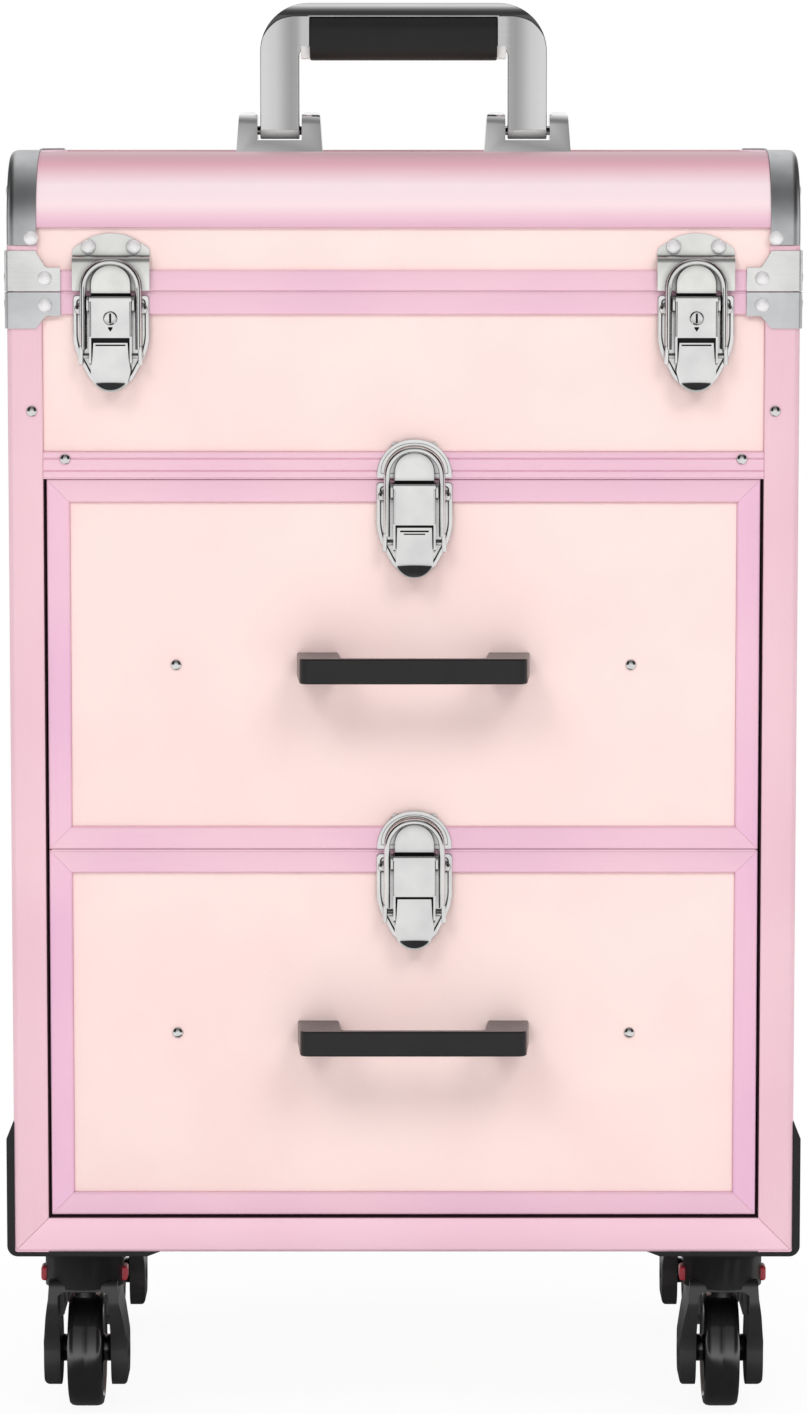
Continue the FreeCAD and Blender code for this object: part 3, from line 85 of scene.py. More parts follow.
half_width = box_of("corner_posts")[1].x
side = -half_width
front, back = box_of("corner_posts")[0].y, box_of("corner_posts")[1].y
middle = (front + back) / 2
bottom, rim = box_of("body_rails")[0].z, box_of("body_rails")[1].z
lid_bottom, lid_top = box_of("lid_rails")[0].z, box_of("lid_rails")[1].z
opening_half = box_of("upper_front_panel")[1].x
rail_height = 12
middle_top = box_of("upper_front_panel")[0].z
middle_low = middle_top - rail_height
opening_low = bottom + half_width - opening_half
wall = 1.6
panel_front = front + wall
print("width", 2 * half_width, "depth", back - front, "lid top", lid_top)

# %% [markdown]
# ## Camera
# The photograph was taken from well back with a long lens, from about the height of the lid
# and tilted down a little, so upright edges close in only slightly towards the floor.

# %% Camera
camera_distance = 2400
camera_height = 603
camera_tilt = math.radians(6.3)
focal_pixels = 5279
picture_pixels = 1414
bpy.ops.object.camera_add(location=(0, (front - camera_distance) * mm, camera_height * mm),
                          rotation=(math.radians(90) - camera_tilt, 0, 0))
camera = bpy.context.object
camera.data.sensor_fit = "VERTICAL"
camera.data.lens = camera.data.sensor_height * (focal_pixels / picture_pixels)
camera.data.clip_end = 20
bpy.context.scene.camera = camera
bpy.context.scene.view_settings.view_transform = "Standard"
print("lens", round(camera.data.lens, 1), "mm")

# %% [markdown]
# ## Shader maths
# A finish is easier to read as a sum than as boxes and wires. One class wraps a node's output
# so that adding or multiplying adds the Math node, and another fills the material and knows
# the slot of its pieces.

# %% Shader classes
def paint(shade):
    """Six hex digits, or a grey level, as the renderer's linear colour."""
    if isinstance(shade, float):
        return (shade, shade, shade, 1)
    parts = [int(shade[at:at + 2], 16) / 255 for at in (0, 2, 4)]
    return tuple(part / 12.92 if part <= 0.04045 else ((part + 0.055) / 1.055) ** 2.4
                 for part in parts) + (1,)


class Value:
    """A node's output that can be added and multiplied."""

    def __init__(self, finish, socket):
        self.finish = finish
        self.socket = socket

    def maths(self, operation, other):
        return self.finish.add("Math", {"operation": operation}, {0: self, 1: other})

    def __add__(self, other):
        return self.maths("ADD", other)

    def __sub__(self, other):
        return self.maths("SUBTRACT", other)

    def __mul__(self, other):
        return self.maths("MULTIPLY", other)

    def __abs__(self):
        return self.maths("ABSOLUTE", 0)


class Finish:
    """A material that is filled by calls."""

    def __init__(self, name, slot=None):
        self.slot = slot
        self.material = bpy.data.materials.new(name)
        self.material.use_nodes = True
        self.tree = self.material.node_tree
        self.shader = self.tree.nodes["Principled BSDF"]

    def add(self, kind, settings, sockets, output=0):
        """Add a node: its settings first, then its sockets."""
        node = self.tree.nodes.new("ShaderNode" + kind)
        for key, setting in settings.items():
            setattr(node, key, setting)
        self.fill(node, sockets)
        return Value(self, node.outputs[output])

    def fill(self, node, sockets):
        for key, item in sockets.items():
            if isinstance(item, Value):
                self.tree.links.new(item.socket, node.inputs[key])
            else:
                node.inputs[key].default_value = item

    def place(self):
        """Where a point of the piece is, in metres."""
        return self.add("TexCoord", {}, {}, 3)

    def level(self, axis, low, high):
        """How far a point lies from low to high on an axis, the same on both sides of zero."""
        part = self.add("SeparateXYZ", {}, {0: self.place()}, "XYZ".index(axis))
        return (abs(part) - low * mm) * (1 / ((high - low) * mm))

    def noise(self, size, along=None, stretch=1, detail=2):
        """Cloudy noise whose patches are about size millimetres, drawn out along an axis."""
        scale = [1 / stretch if axis == along else 1 for axis in "XYZ"]
        spot = self.add("Mapping", {}, {"Vector": self.place(), "Scale": scale})
        return self.add("TexNoise", {}, {"Vector": spot, "Scale": 1000 / size, "Detail": detail})

    def mixed(self, mask, first, second, blend="MIX"):
        return self.add("Mix", {"data_type": "RGBA", "blend_type": blend},
                        {0: mask, 6: first, 7: second}, 2)

    def graded(self, mask, *stops):
        """Colours (place from 0 to 1, shade) that follow a mask."""
        ramp = self.add("ValToRGB", {}, {0: mask})
        elements = ramp.socket.node.color_ramp.elements
        while len(elements) < len(stops):
            elements.new(0.5)
        for element, (place, shade) in zip(elements, stops):
            element.position = place
            element.color = paint(shade)
        return ramp

    def surface(self, tint, grain, spread, roughness, relief, metal=0.0):
        """Fill the shader; the grain roughens it and raises it by relief millimetres."""
        bump = self.add("Bump", {}, {"Height": grain, "Distance": relief * mm, "Strength": 1.0})
        self.fill(self.shader, {"Base Color": tint, "Metallic": metal, "Normal": bump,
                                "Roughness": grain * spread + roughness})
        return self.material, self.slot


print("shader classes ready")

# %% [markdown]
# ## Metals
# The rails are aluminium, blasted and dyed pink: a soft grain along the bar, and a dye that
# drifts a little. The lid's round profile, the carry handle's steel and the clevises carry
# painted light: a painted highlight, reflection or shade, as a tone that changes along one axis.
# Nickel reads as metal by the studio it mirrors and a faint unevenness in its polish, and it
# has painted shade, a darker tone where pieces nearly touch.

# %% Metal makers
def grained(finish, tone, grain, mix, stops, spread, roughness, relief, metal=0.0):
    """Colours that follow a tone and a little of the grain, which roughens and raises them."""
    tint = finish.graded(tone + grain * mix - mix / 2, *stops)
    return finish.surface(tint, grain, spread, roughness, relief, metal)


def satin(name, pale, deep, along):
    finish = Finish(name, "satin_frame")
    return grained(finish, finish.noise(90, detail=1), finish.noise(0.9, along, 30, 3), 0.12,
                   [(0.38, pale), (0.64, deep)], 0.12, 0.36, 0.006, 0.35)


# Steel whose colour follows a level along one axis, which paints a highlight, reflection or shade
# on it.
def steel_with_painted_light(name, axis, low, high, stops, roughness=0.2):
    finish = Finish(name, "steel_fitting")
    return grained(finish, finish.level(axis, low, high), finish.noise(0.6, "X", 25, 3), 0.04,
                   stops, 0.1, roughness, 0.003, 1.0)


def plated(name, pale, deep, roughness, along=None, painted_contact_shade=False, slot="steel_fitting"):
    finish = Finish(name, slot)
    grain = finish.noise(0.6, along, 25, 3) if along else finish.noise(2.5, detail=3)
    tint = finish.graded(finish.noise(14), (0.35, pale), (0.7, deep))
    # Painted shade: ambient occlusion darkens the colour where pieces nearly touch.
    if painted_contact_shade:
        open_air = finish.add("AmbientOcclusion", {"samples": 8}, {"Distance": 3.5 * mm}, 1)
        shade = finish.graded(open_air, (0.15, "262627"), (0.45, "8E8F90"), (0.72, "DADADA"),
                              (0.95, "FFFFFF"))
        tint = finish.mixed(1.0, tint, shade, "MULTIPLY")
    return finish.surface(tint, grain, 0.1, roughness, 0.003, 1.0)


def pearl(name, pale, deep, metal=0.45):
    """Nickel blasted so fine that it looks pearly."""
    finish = Finish(name, "steel_fitting")
    grain = finish.noise(0.8, detail=3)
    tint = finish.graded(grain, (0.35, pale), (0.7, deep))
    return finish.surface(tint, grain, 0.1, 0.4, 0.004, metal)


print("metal makers ready")

# %% Metals
rose_up = satin("rose_satin_upright", "F2CAD5", "EEC4D0", "Z")
rose_across = satin("rose_satin_across", "FBD2E0", "F8CCDC", "X")
rose_deep = satin("rose_satin_front_to_back", "FBD2E0", "F8CCDC", "Y")
mauve_up = satin("mauve_satin_upright", "F3C5D8", "EDBCD8", "Z")
mauve_across = satin("mauve_satin_across", "F3C8D7", "EDC0D4", "X")
mauve_deep = satin("mauve_satin_front_to_back", "F3C8D7", "EDC0D4", "Y")
# The quarter-round's tone follows height: a painted highlight low across the round, and painted
# shade towards its top and at its foot.
round_height = 34.2
finish = Finish("bullnose_painted_light", "satin_frame")
bullnose_painted_light = grained(
    finish, finish.level("Z", lid_top - round_height, lid_top), finish.noise(0.9, "X", 30, 3),
    0.02, [(0.0, "DCACC0"), (0.16, "EDC7D4"), (0.3, "F8DFE4"), (0.57, "F3DFE4"),
           (0.7, "EAC6CF"), (0.84, "D9A2B1"), (0.93, "C99CA8"), (1.0, "D0ACB5")],
    0.08, 0.34, 0.004, 0.1)
# Both nickels carry painted shade where pieces nearly touch.
bright_nickel = plated("bright_nickel", "E0E0DF", "D3D4D3", 0.06, painted_contact_shade=True)
strike_nickel = plated("strike_nickel", "E6E6E3", "D9DAD6", 0.13, painted_contact_shade=True)
# Painted reflection: the curl's half-moon is given a dark nickel where the tip would mirror a dark
# surround.
painted_lip_reflection = plated("painted_dark_lip_reflection", "6C6C6E", "5A5A5C", 0.24)
rivet_nickel = pearl("rivet_nickel", "F6F4F5", "ECEBEC")
eye_steel = pearl("eye_steel", "E6E6E6", "DADADA", 0.12)
pressed_steel = plated("brushed_steel_pressing", "CDCED0", "BABCBE", 0.3, "Z")
lid_bracket_steel = plated("pale_steel_pressing", "ECECEA", "DEDFDD", 0.22, "X")
body_bracket_steel = plated("grey_steel_pressing", "DADBDD", "CCCDCF", 0.24, "X")
handle_steel = plated("satin_handle_steel", "DCDCDC", "CECFD0", 0.24, "Z")
runner_zinc = plated("runner_zinc", "B9BCC2", "9EA2AA", 0.3, "Y", slot="runner_steel")
tube_aluminium = plated("tube_aluminium", "C3C5C8", "B0B2B6", 0.28, "Z", slot="tube_metal")
print("metals: 18")

# %% [markdown]
# ## Boards and plastics
# The panels have a peach skin with a very fine pressed grain and a slight mottle. Black
# plastics differ mostly in roughness: lacquered pulls, a soft-touch grip, grainy corner
# brackets and glossy tyres.

# %% Boards and plastics
def board(name, pale, deep, grain_size, relief, roughness, slot="drawer_board"):
    finish = Finish(name, slot)
    return grained(finish, finish.noise(60), finish.noise(grain_size), 0.2,
                   [(0.36, pale), (0.66, deep)], 0.16, roughness, relief)


def plastic(name, pale, deep, roughness, grain_size=0.8, relief=0.02, coat=0.0, gloss=0.5,
            slot="black_plastic"):
    finish = Finish(name, slot)
    finish.fill(finish.shader, {"Coat Weight": coat, "Coat Roughness": 0.14,
                                "Specular IOR Level": gloss})
    shade = finish.mixed(finish.noise(30), paint(pale), paint(deep))
    return finish.surface(shade, finish.noise(grain_size), 0.14, roughness, relief)


peach_board = board("peach_board", "FAE0DB", "F8DBD7", 0.7, 0.03, 0.5, "textured_panel")
drawer_board = board("drawer_board", "CDBEBB", "BFAFAD", 1.2, 0.02, 0.6)
dark_mat = board("dark_foam_mat", "33302F", "272525", 0.8, 0.08, 0.8)
black_plastic = plastic("black_plastic", "1F1F21", "18181A", 0.38, gloss=0.3)
pull_lacquer = plastic("pull_lacquer", "222020", "181717", 0.24, 1.5, 0.004, 0.25, 0.15,
                       "gloss_black")
grip_plastic = plastic("grip_plastic", "222223", "1A1A1B", 0.42, 0.5, gloss=0.3)
pale_collar = plastic("pale_collar", "E4E4E3", "D8D8D7", 0.35)
fork_plastic = plastic("fork_plastic", "343436", "2A2A2C", 0.3, 0.9, 0.01, gloss=0.7)
tyre_rubber = plastic("tyre_rubber", "1C1C1D", "161617", 0.14, 1.2, 0.004, 1.0, 1.0,
                      "wheel_rubber")
red_plastic = plastic("red_plastic", "C23A48", "A52C3A", 0.3, 0.7, 0.01, slot="red_plastic")
# Painted shadow: black pieces put in the latches' hollows and gaps, where there is only shade.
painted_shadow_black = plastic("painted_shadow_black", "18181A", "101011", 0.7, slot="steel_fitting")
# Painted shadow: a dark strip that blackens the gap round the drawers.
painted_shadow_strip = plastic("painted_shadow_strip", "26060F", "1A040A", 0.9)
print("boards and plastics: 12")

# %% [markdown]
# ## Modelling helpers
# Nearly every piece is a plate, a bar or a pressing, so the main helper walks round an
# outline point by point, fills it, rounds its corners and pulls it to a thickness. The others
# pick by place, soften edges and cut.

# %% Select and edit
def only(*pieces):
    """Select these objects alone, the last one active."""
    if bpy.context.mode != "OBJECT":
        bpy.ops.object.mode_set(mode="OBJECT")
    bpy.ops.object.select_all(action="DESELECT")
    for piece in pieces:
        piece.select_set(True)
        bpy.context.view_layer.objects.active = piece


def edit(piece, kind="VERT"):
    only(piece)
    bpy.ops.object.mode_set(mode="EDIT")
    bpy.ops.mesh.select_mode(type=kind)
    bpy.ops.mesh.select_all(action="DESELECT")


def pick(piece, kind, test):
    """Go into edit mode and select what passes a test on its middle and its direction."""
    edit(piece, kind)
    mesh = bmesh.from_edit_mesh(piece.data)
    for part in mesh.edges if kind == "EDGE" else mesh.faces:
        ends = [vert.co for vert in part.verts]
        way = (ends[1] - ends[0]).normalized() if kind == "EDGE" else part.normal
        if test(sum(ends, Vector()) / len(ends) / mm, way):
            part.select_set(True)
    mesh.select_flush(True)
    bmesh.update_edit_mesh(piece.data)


def whole(piece, *steps):
    """Run edit-mode steps on the whole mesh, each with its settings."""
    edit(piece)
    for operation, settings in steps:
        bpy.ops.mesh.select_all(action="SELECT")
        operation(**settings)
    bpy.ops.object.mode_set(mode="OBJECT")
    return piece


def merged(threshold):
    return bpy.ops.mesh.remove_doubles, {"threshold": threshold * mm}


outward = (bpy.ops.mesh.normals_make_consistent, {"inside": False})
print("selection helpers ready")

# %% Outlines
def spot(plane, across, up, level):
    """A place in metres from two lengths in a plane and the plane's level."""
    order = {"XY": (across, up, level), "XZ": (across, level, up), "YZ": (level, across, up)}
    return Vector(order[plane]) * mm


def mirrored(corners):
    """Corners on the right of a middle line, and the same on its left."""
    return corners + [(-corner[0], *corner[1:]) for corner in reversed(corners) if corner[0]]


def chain(spots):
    """Points in metres, joined one after another by extruding."""
    only()
    bpy.ops.mesh.primitive_plane_add(size=1 * mm, location=spots[0])
    piece = bpy.context.object
    bpy.ops.object.transform_apply()
    bpy.ops.object.mode_set(mode="EDIT")
    bpy.ops.mesh.select_mode(type="VERT")
    bpy.ops.mesh.select_all(action="SELECT")
    bpy.ops.mesh.merge(type="CENTER")
    for here, there in zip(spots, spots[1:]):
        bpy.ops.mesh.extrude_region_move(TRANSFORM_OT_translate={"value": there - here})
    return piece


def outline(plane, level, corners, steps=6, at=(0, 0), filled=True):
    """A face round corners (across, up) from a start, each rounded where it has a radius."""
    spots = [spot(plane, at[0] + corner[0], at[1] + corner[1], level) for corner in corners]
    piece = chain(spots)
    if filled:
        bpy.ops.mesh.select_all(action="SELECT")
        bpy.ops.mesh.edge_face_add()
    for number, corner in enumerate(corners):
        if len(corner) < 3:
            continue
        here = spots[number]
        into = (here - spots[number - 1]).normalized()
        out = (spots[(number + 1) % len(spots)] - here).normalized()
        mesh = bmesh.from_edit_mesh(piece.data)
        bpy.ops.mesh.select_all(action="DESELECT")
        min(mesh.verts, key=lambda vert: (vert.co - here).length).select_set(True)
        mesh.select_flush(True)
        bmesh.update_edit_mesh(piece.data)
        bpy.ops.mesh.bevel(offset=corner[2] * math.tan(into.angle(out) / 2) * mm,
                           segments=steps, affect="VERTICES")
    bpy.ops.object.mode_set(mode="OBJECT")
    return piece


def solid(plane, corners, low, high, steps=6, at=(0, 0)):
    """An outline pulled straight out of its plane from one level to another."""
    step = spot(plane, 0, 0, high - low)
    return whole(outline(plane, low, corners, steps, at),
                 (bpy.ops.mesh.extrude_region_move, {"TRANSFORM_OT_translate": {"value": step}}),
                 outward)


def block(x, y, z):
    """A plain block between two places on each axis, to be shaped further."""
    return solid("XY", [(x[0], y[0]), (x[1], y[0]), (x[1], y[1]), (x[0], y[1])], *z)


def turn(start, way, section, steps=24):
    """A round piece from half of its section: points (radius, distance along the way)."""
    way = Vector(way)
    out = Vector((1, 0, 0)) if abs(way.x) < 0.5 else Vector((0, 1, 0))
    spots = [(Vector(start) + way * along + out * radius) * mm for radius, along in section]
    spin = {"steps": steps, "angle": math.tau, "center": Vector(start) * mm, "axis": way}
    piece = whole(chain(spots), (bpy.ops.mesh.spin, spin), merged(0.002), outward)
    bpy.ops.object.shade_smooth_by_angle(angle=math.radians(40))
    return piece


print("outline helpers ready")

# %% Edges, cuts and copies
def add_modifier(piece, kind, **settings):
    """Add a modifier with its settings and apply it at once."""
    only(piece)
    modifier = piece.modifiers.new(kind.lower(), kind)
    for key, setting in settings.items():
        setattr(modifier, key, setting)
    bpy.ops.object.modifier_apply(modifier=modifier.name)
    return piece


def soften(piece, width, steps=2, angle=32):
    """Round every edge that is sharper than the angle, and shade the piece smoothly."""
    only(piece)
    bpy.ops.object.shade_smooth()
    return add_modifier(piece, "BEVEL", width=width * mm, segments=steps, harden_normals=True,
                        limit_method="ANGLE", angle_limit=math.radians(angle))


def remove(*pieces):
    only(*pieces)
    bpy.ops.object.delete()


def cut(piece, *shapes, kind="DIFFERENCE"):
    """Take shapes out of a piece, or weld them on, or keep what they share."""
    for shape in shapes:
        add_modifier(piece, "BOOLEAN", operation=kind, object=shape, solver="EXACT")
        remove(shape)
    return piece


def saw(piece, point, *ways):
    """Cut off and close what lies beyond planes through a point, on the sides they face."""
    plane = {"plane_co": Vector(point) * mm, "use_fill": True, "clear_outer": True,
             "threshold": 0.0001 * mm}
    return whole(piece, *[(bpy.ops.mesh.bisect, {"plane_no": way, **plane}) for way in ways])


def twin(piece, shift=(0, 0, 0)):
    """A copy with its own mesh, moved by some millimetres."""
    only(piece)
    bpy.ops.object.duplicate(linked=False)
    bpy.ops.transform.translate(value=Vector(shift) * mm)
    bpy.ops.object.transform_apply()
    return bpy.context.object


def over(piece, axis):
    """A mirror copy across x, or across y about the middle of the body."""
    mirror = {"value": (-1, 1, 1) if axis == "x" else (1, -1, 1),
              "center_override": (0, middle * mm, 0)}
    return whole(twin(piece), (bpy.ops.transform.resize, mirror), (bpy.ops.mesh.flip_normals, {}))


def both_sides(*pieces):
    return [*pieces, *[over(piece, "x") for piece in pieces]]


def four_ways(*pieces):
    return both_sides(*pieces, *[over(piece, "y") for piece in pieces])


def fit(name, body, finish, node, *pieces):
    """Join pieces into one, with its finish, body and the frame node it stands for."""
    only(*pieces)
    if len(pieces) > 1:
        bpy.ops.object.join()
    bpy.ops.object.transform_apply()
    piece = bpy.context.object
    piece.name = name
    material, slot = finish
    piece.data.materials.clear()
    piece.data.materials.append(material)
    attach(piece, body)
    if node:
        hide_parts(node)
    print(f"{name}: {len(piece.data.polygons)} faces on {body}")


def dress(name, body, finish, node, width, steps=2, angle=32):
    """Fit a copy of a frame node, with its flat faces whole and its edges rounded."""
    only(nodes[node])
    bpy.ops.object.duplicate(linked=False)
    piece = bpy.context.object
    piece.parent = None
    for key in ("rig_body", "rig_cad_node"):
        del piece[key]
    flat = (bpy.ops.mesh.dissolve_limited, {"angle_limit": math.radians(0.5)})
    soften(whole(piece, merged(0.004), flat), width, steps, angle)
    fit(name, body, finish, node, piece)


print("edge, cut and copy helpers ready")

# %% [markdown]
# ## Corner posts and bottom rails
# The posts are folded angles with a lip beside the drawers, and they meet the bottom rails in
# mitres. Each bar is drawn as its section, pulled to its full length and cut off by slanting
# planes, which is how the real bars are sawn.

# %% Corner posts
leg = 16
rim_height = 10.2
post_plan = [(0, 0, 2.5), (leg, 0, 0.6), (leg, 10), (leg - wall, 10), (leg - wall, wall),
             (wall, wall), (wall, leg), (0, leg)]
post = solid("XY", post_plan, bottom, rim - rim_height, at=(side, front))
saw(post, (side, front, bottom), (1, 0, -1), (0, 1, -1))
fit("corner_posts_dressed", "cabinet", rose_up, "corner_posts", *four_ways(soften(post, 0.3)))

# %% Bottom rails
foot_section = [(0, 0, 1.6), (leg, 0), (leg, wall), (wall, wall), (wall, leg - wall),
                (10, leg - wall), (10, leg), (0, leg, 0.6)]
rail = solid("YZ", foot_section, side, half_width, at=(front, bottom))
saw(rail, (side, front, bottom), (-1, 0, 1))
saw(rail, (half_width, front, bottom), (1, 0, 1))
soften(rail, 0.3)
fit("bottom_rails_front_and_back", "cabinet", rose_across, "body_rails", rail, over(rail, "y"))
side_section = [(0, 0, 1.6), (0, leg, 0.6), (wall, leg), (wall, wall), (leg, wall), (leg, 0)]
rail = solid("XZ", side_section, front, back, at=(side, bottom))
saw(rail, (side, front, bottom), (0, -1, 1))
saw(rail, (side, back, bottom), (0, 1, 1))
fit("bottom_rails_sides", "cabinet", rose_deep, "body_rails", *both_sides(soften(rail, 0.3)))

# %% [markdown]
# ## Rim rails and the grooved rail
# The rails along the seam are angles with a bar behind them, in a dye that leans to mauve.
# The two fine grooves of the rail over the drawers are part of its section.

# %% Rim rails and grooved rail
for name, base, way, height, body in (("body", rim, -1, rim_height, "cabinet"),
                                      ("lid", lid_bottom, 1, 9.6, "lid")):
    section = [(0, 0, 0.8), (0, way * height, 0.8), (wall, way * height), (wall, way * 4),
               (8, way * 4), (8, 0)]
    rail = soften(solid("YZ", section, side, half_width, at=(front, base)), 0.25)
    fit(name + "_rim_across", body, mauve_across, name + "_rails", rail, over(rail, "y"))
    rail = soften(solid("XZ", section, front + 8, back - 8, at=(side, base)), 0.25)
    fit(name + "_rim_deep", body, mauve_deep, name + "_rails", *both_sides(rail))
grooved = [(0, 0, 0.7), (0, 2.8), (0.6, 2.95), (0.6, 3.45), (0, 3.6), (0, 8.4), (0.6, 8.55),
           (0.6, 9.05), (0, 9.2), (0, rail_height, 0.7), (10, rail_height), (10, 0)]
rail = solid("YZ", grooved, -opening_half, opening_half, at=(front, middle_low))
fit("grooved_rail", "cabinet", mauve_across, "body_rails", soften(rail, 0.12))

# %% [markdown]
# ## Panels
# The fixed front panel and the boards of the sides, back and lid are the frame's own, with the
# small soft edge of a cut board, so that their borders show as a fine line.

# %% Body and lid panels
dress("front_panel", "cabinet", peach_board, "upper_front_panel", 0.35)
dress("case_panels", "cabinet", peach_board, "body_panels", 0.35)
dress("lid_boards", "lid", peach_board, "lid_panels", 0.35)

# %% [markdown]
# ## Lid profiles
# The lid's long edges are a big quarter-round extrusion. Its round has many steps, because a
# facet would show as a stripe across the whole lid.

# %% Quarter-rounds, corner posts and side edges
round_section = [(0, -round_height, 0.5), (0, 0, 33), (38, 0), (38, -wall),
                 (wall, -wall, 31.4), (wall, -round_height)]
rail = solid("YZ", round_section, side + 8, half_width - 8, 28, (front, lid_top))
soften(rail, 0.2, 2, 50)
fit("lid_quarter_rounds", "lid", bullnose_painted_light, "lid_bullnose_profiles", rail, over(rail, "y"))
cap_low = lid_top - 42
post_plan = [(0, 0, 2.5), (14, 0, 0.6), (14, wall), (wall, wall), (wall, 14), (0, 14)]
post = solid("XY", post_plan, lid_bottom + 9.6, cap_low, at=(side, front))
fit("lid_corner_posts", "lid", rose_up, "lid_rails", *four_ways(soften(post, 0.25)))
edge_section = [(0, -leg, 0.6), (0, 0, 5.5), (leg, 0, 0.6), (leg, -wall), (wall, -wall, 3.9),
                (wall, -leg)]
rail = solid("XZ", edge_section, front + 38, back - 38, 10, (side, lid_top))
fit("lid_side_edges", "lid", rose_deep, "lid_rails", *both_sides(soften(rail, 0.25, 2, 50)))

# %% [markdown]
# ## Corner caps
# A cap is one pressing over the lid's rounded corner: a block with the lid's outline, whose
# outer edge is rounded, whose open sides are deleted and whose skin gets a thickness.

# %% Corner cap
cap = solid("YZ", [(-0.8, -42), (-0.8, 0.8, 33.8), (38, 0.8), (38, -18), (14, -42)], side,
            side + 13.6, 20, (front, lid_top))


def cap_rim(place, way):
    on_open_side = place.y > front + 37 or (place.z < lid_top - 19 and place.y > front + 2)
    return abs(place.x - side) < 0.01 and abs(way.x) < 0.1 and not on_open_side \
        and place.z > cap_low + 1


pick(cap, "EDGE", cap_rim)
bpy.ops.mesh.bevel(offset=3.8 * mm, segments=6, profile=0.5)
pick(cap, "FACE", lambda place, way: way.x > 0.9 or way.z < -0.9 or way.y > 0.5)
bpy.ops.mesh.delete(type="FACE")
add_modifier(cap, "SOLIDIFY", thickness=0.8 * mm, offset=-1.0, use_even_offset=True)
fit("lid_caps", "lid", pressed_steel, "lid_corner_caps", *four_ways(soften(cap, 0.2, 2, 45)))

# %% [markdown]
# ## Seam brackets
# Each corner of the seam has a stamped angle above and below it. The strip is bent round the
# corner first, and then the slanting notch that narrows each arm is cut through both arms.

# %% Seam brackets
skin = 0.9
for name, edge, way, height, steel in (("body", rim, -1, 16.5, body_bracket_steel),
                                       ("lid", lid_bottom, 1, 18.4, lid_bracket_steel)):
    plan = [(-skin, -skin, 1.7), (24.5, -skin), (24.5, 0), (0, 0, 0.8), (0, 24.5),
            (-skin, 24.5)]
    tall, low, beyond = way * height, way * 10.8, way * (height + 2)
    strip = solid("XY", plan, *sorted((edge, edge + tall)), 5, (side, front))
    notch = [(13.2, beyond), (13.2, tall, 1.6), (17.8, low, 1.6), (27, low), (27, beyond)]
    cut(strip, solid("XZ", notch, front - 2, front + 0.5, at=(side, edge)),
        solid("YZ", notch, side - 2, side + 0.5, at=(front, edge)))
    fit(name + "_seam_brackets", "cabinet" if name == "body" else "lid", steel,
        name + "_corner_brackets", *four_ways(soften(strip, 0.28, 3)))

# %% [markdown]
# ## Rivets
# Broad pearly heads hold the fittings, and small polished ones the rails and boards. Each kind
# is turned from half of its section.

# %% Rivets on the corners and rails
domed = [(0, 0), (3.35, 0), (3.3, 0.4), (2.9, 0.9), (2.15, 1.3), (1.1, 1.52), (0, 1.6)]
button = [(0, 0), (2.6, 0), (2.55, 0.35), (2.15, 0.85), (1.45, 1.2), (0.75, 1.36), (0, 1.4)]


def rivet(section, x, y, z, way=(0, -1, 0)):
    return turn((x, y, z), way, section, 16)


def bracket_heads(level, inset=17.4):
    """A domed head on each leg of a seam bracket, at all four corners."""
    return four_ways(rivet(domed, side + inset, front - skin, level),
                     rivet(domed, side - skin, front + inset, level, (-1, 0, 0)))


fit("body_bracket_rivets", "cabinet", rivet_nickel, "body_rivets", *bracket_heads(rim - 5.8))
fit("rail_rivets", "cabinet", bright_nickel, "body_rivets",
    *four_ways(rivet(button, side + 11, front, rim - 54)),
    *both_sides(rivet(button, side + 26, front, middle_top - 3.4)))
fit("lid_bracket_rivets", "lid", rivet_nickel, "lid_rivets", *bracket_heads(lid_bottom + 5.8),
    *four_ways(rivet(domed, side + 11.2, front - skin, cap_low + 3.3)),
    *four_ways(rivet(domed, side, front + 22, lid_top - 18, (-1, 0, 0))))

# %% [markdown]
# ## Draw latches
# A draw latch is a sprung lever on a riveted base, with a wire loop that reaches over the seam
# and hooks a strike. The parts are modelled once, about a point at the seam with the front
# face at y 0, and copied. The base is a pressing with a raised border.

# %% Latch base
def shield(half, nose, shoulder, foot, top, low, high, steps=10):
    """A plate with straight sides, wide round shoulders and a rounded nose."""
    return solid("XZ", [(-nose, foot, 10), (nose, foot, 10), (half, shoulder, 24),
                        (half, top, 1.6), (-half, top, 1.6), (-half, shoulder, 24)],
                 low, high, steps)


plate = cut(shield(17.3, 7.6, -25.5, -43.6, -1.6, -1.4, 0),
            shield(15.5, 6.6, -24.9, -41.8, -3.4, -3, -0.6))
packing = shield(14.6, 6, -24, -40.8, -11.5, 0, wall, 6)
ear = solid("YZ", [(-0.9, -9.2), (-0.9, -1.6), (-7.6, -1.6, 2.2), (-7.6, -9.2, 2.2)], 9.65, 10.8)
pin = turn((-10.9, -5, -5.2), (1, 0, 0),
           [(0, 0), (1.3, 0), (1.5, 0.2), (1.5, 21.6), (1.3, 21.8), (0, 21.8)], 16)
base = [soften(plate, 0.38, 3, 30), packing, *both_sides(soften(ear, 0.2)), pin,
        *both_sides(rivet(button, 14, -1.3, -7.8))]
print("parts of a latch base:", len(base))

# %% [markdown]
# ### Lever
# The lever is a channel folded from sheet, with two cheeks and a thumb tab whose end curls
# outwards. Both are pulled across from their side views and trimmed to their front outlines;
# the half-moon of the curl has a painted dark reflection inside a bright rim. A black block
# inside the channel is a painted shadow, seen through the notch and the tab's cut lines.

# %% Lever and tab
def front_shape(corners):
    return solid("XZ", mirrored(corners), -15, -5, 10)


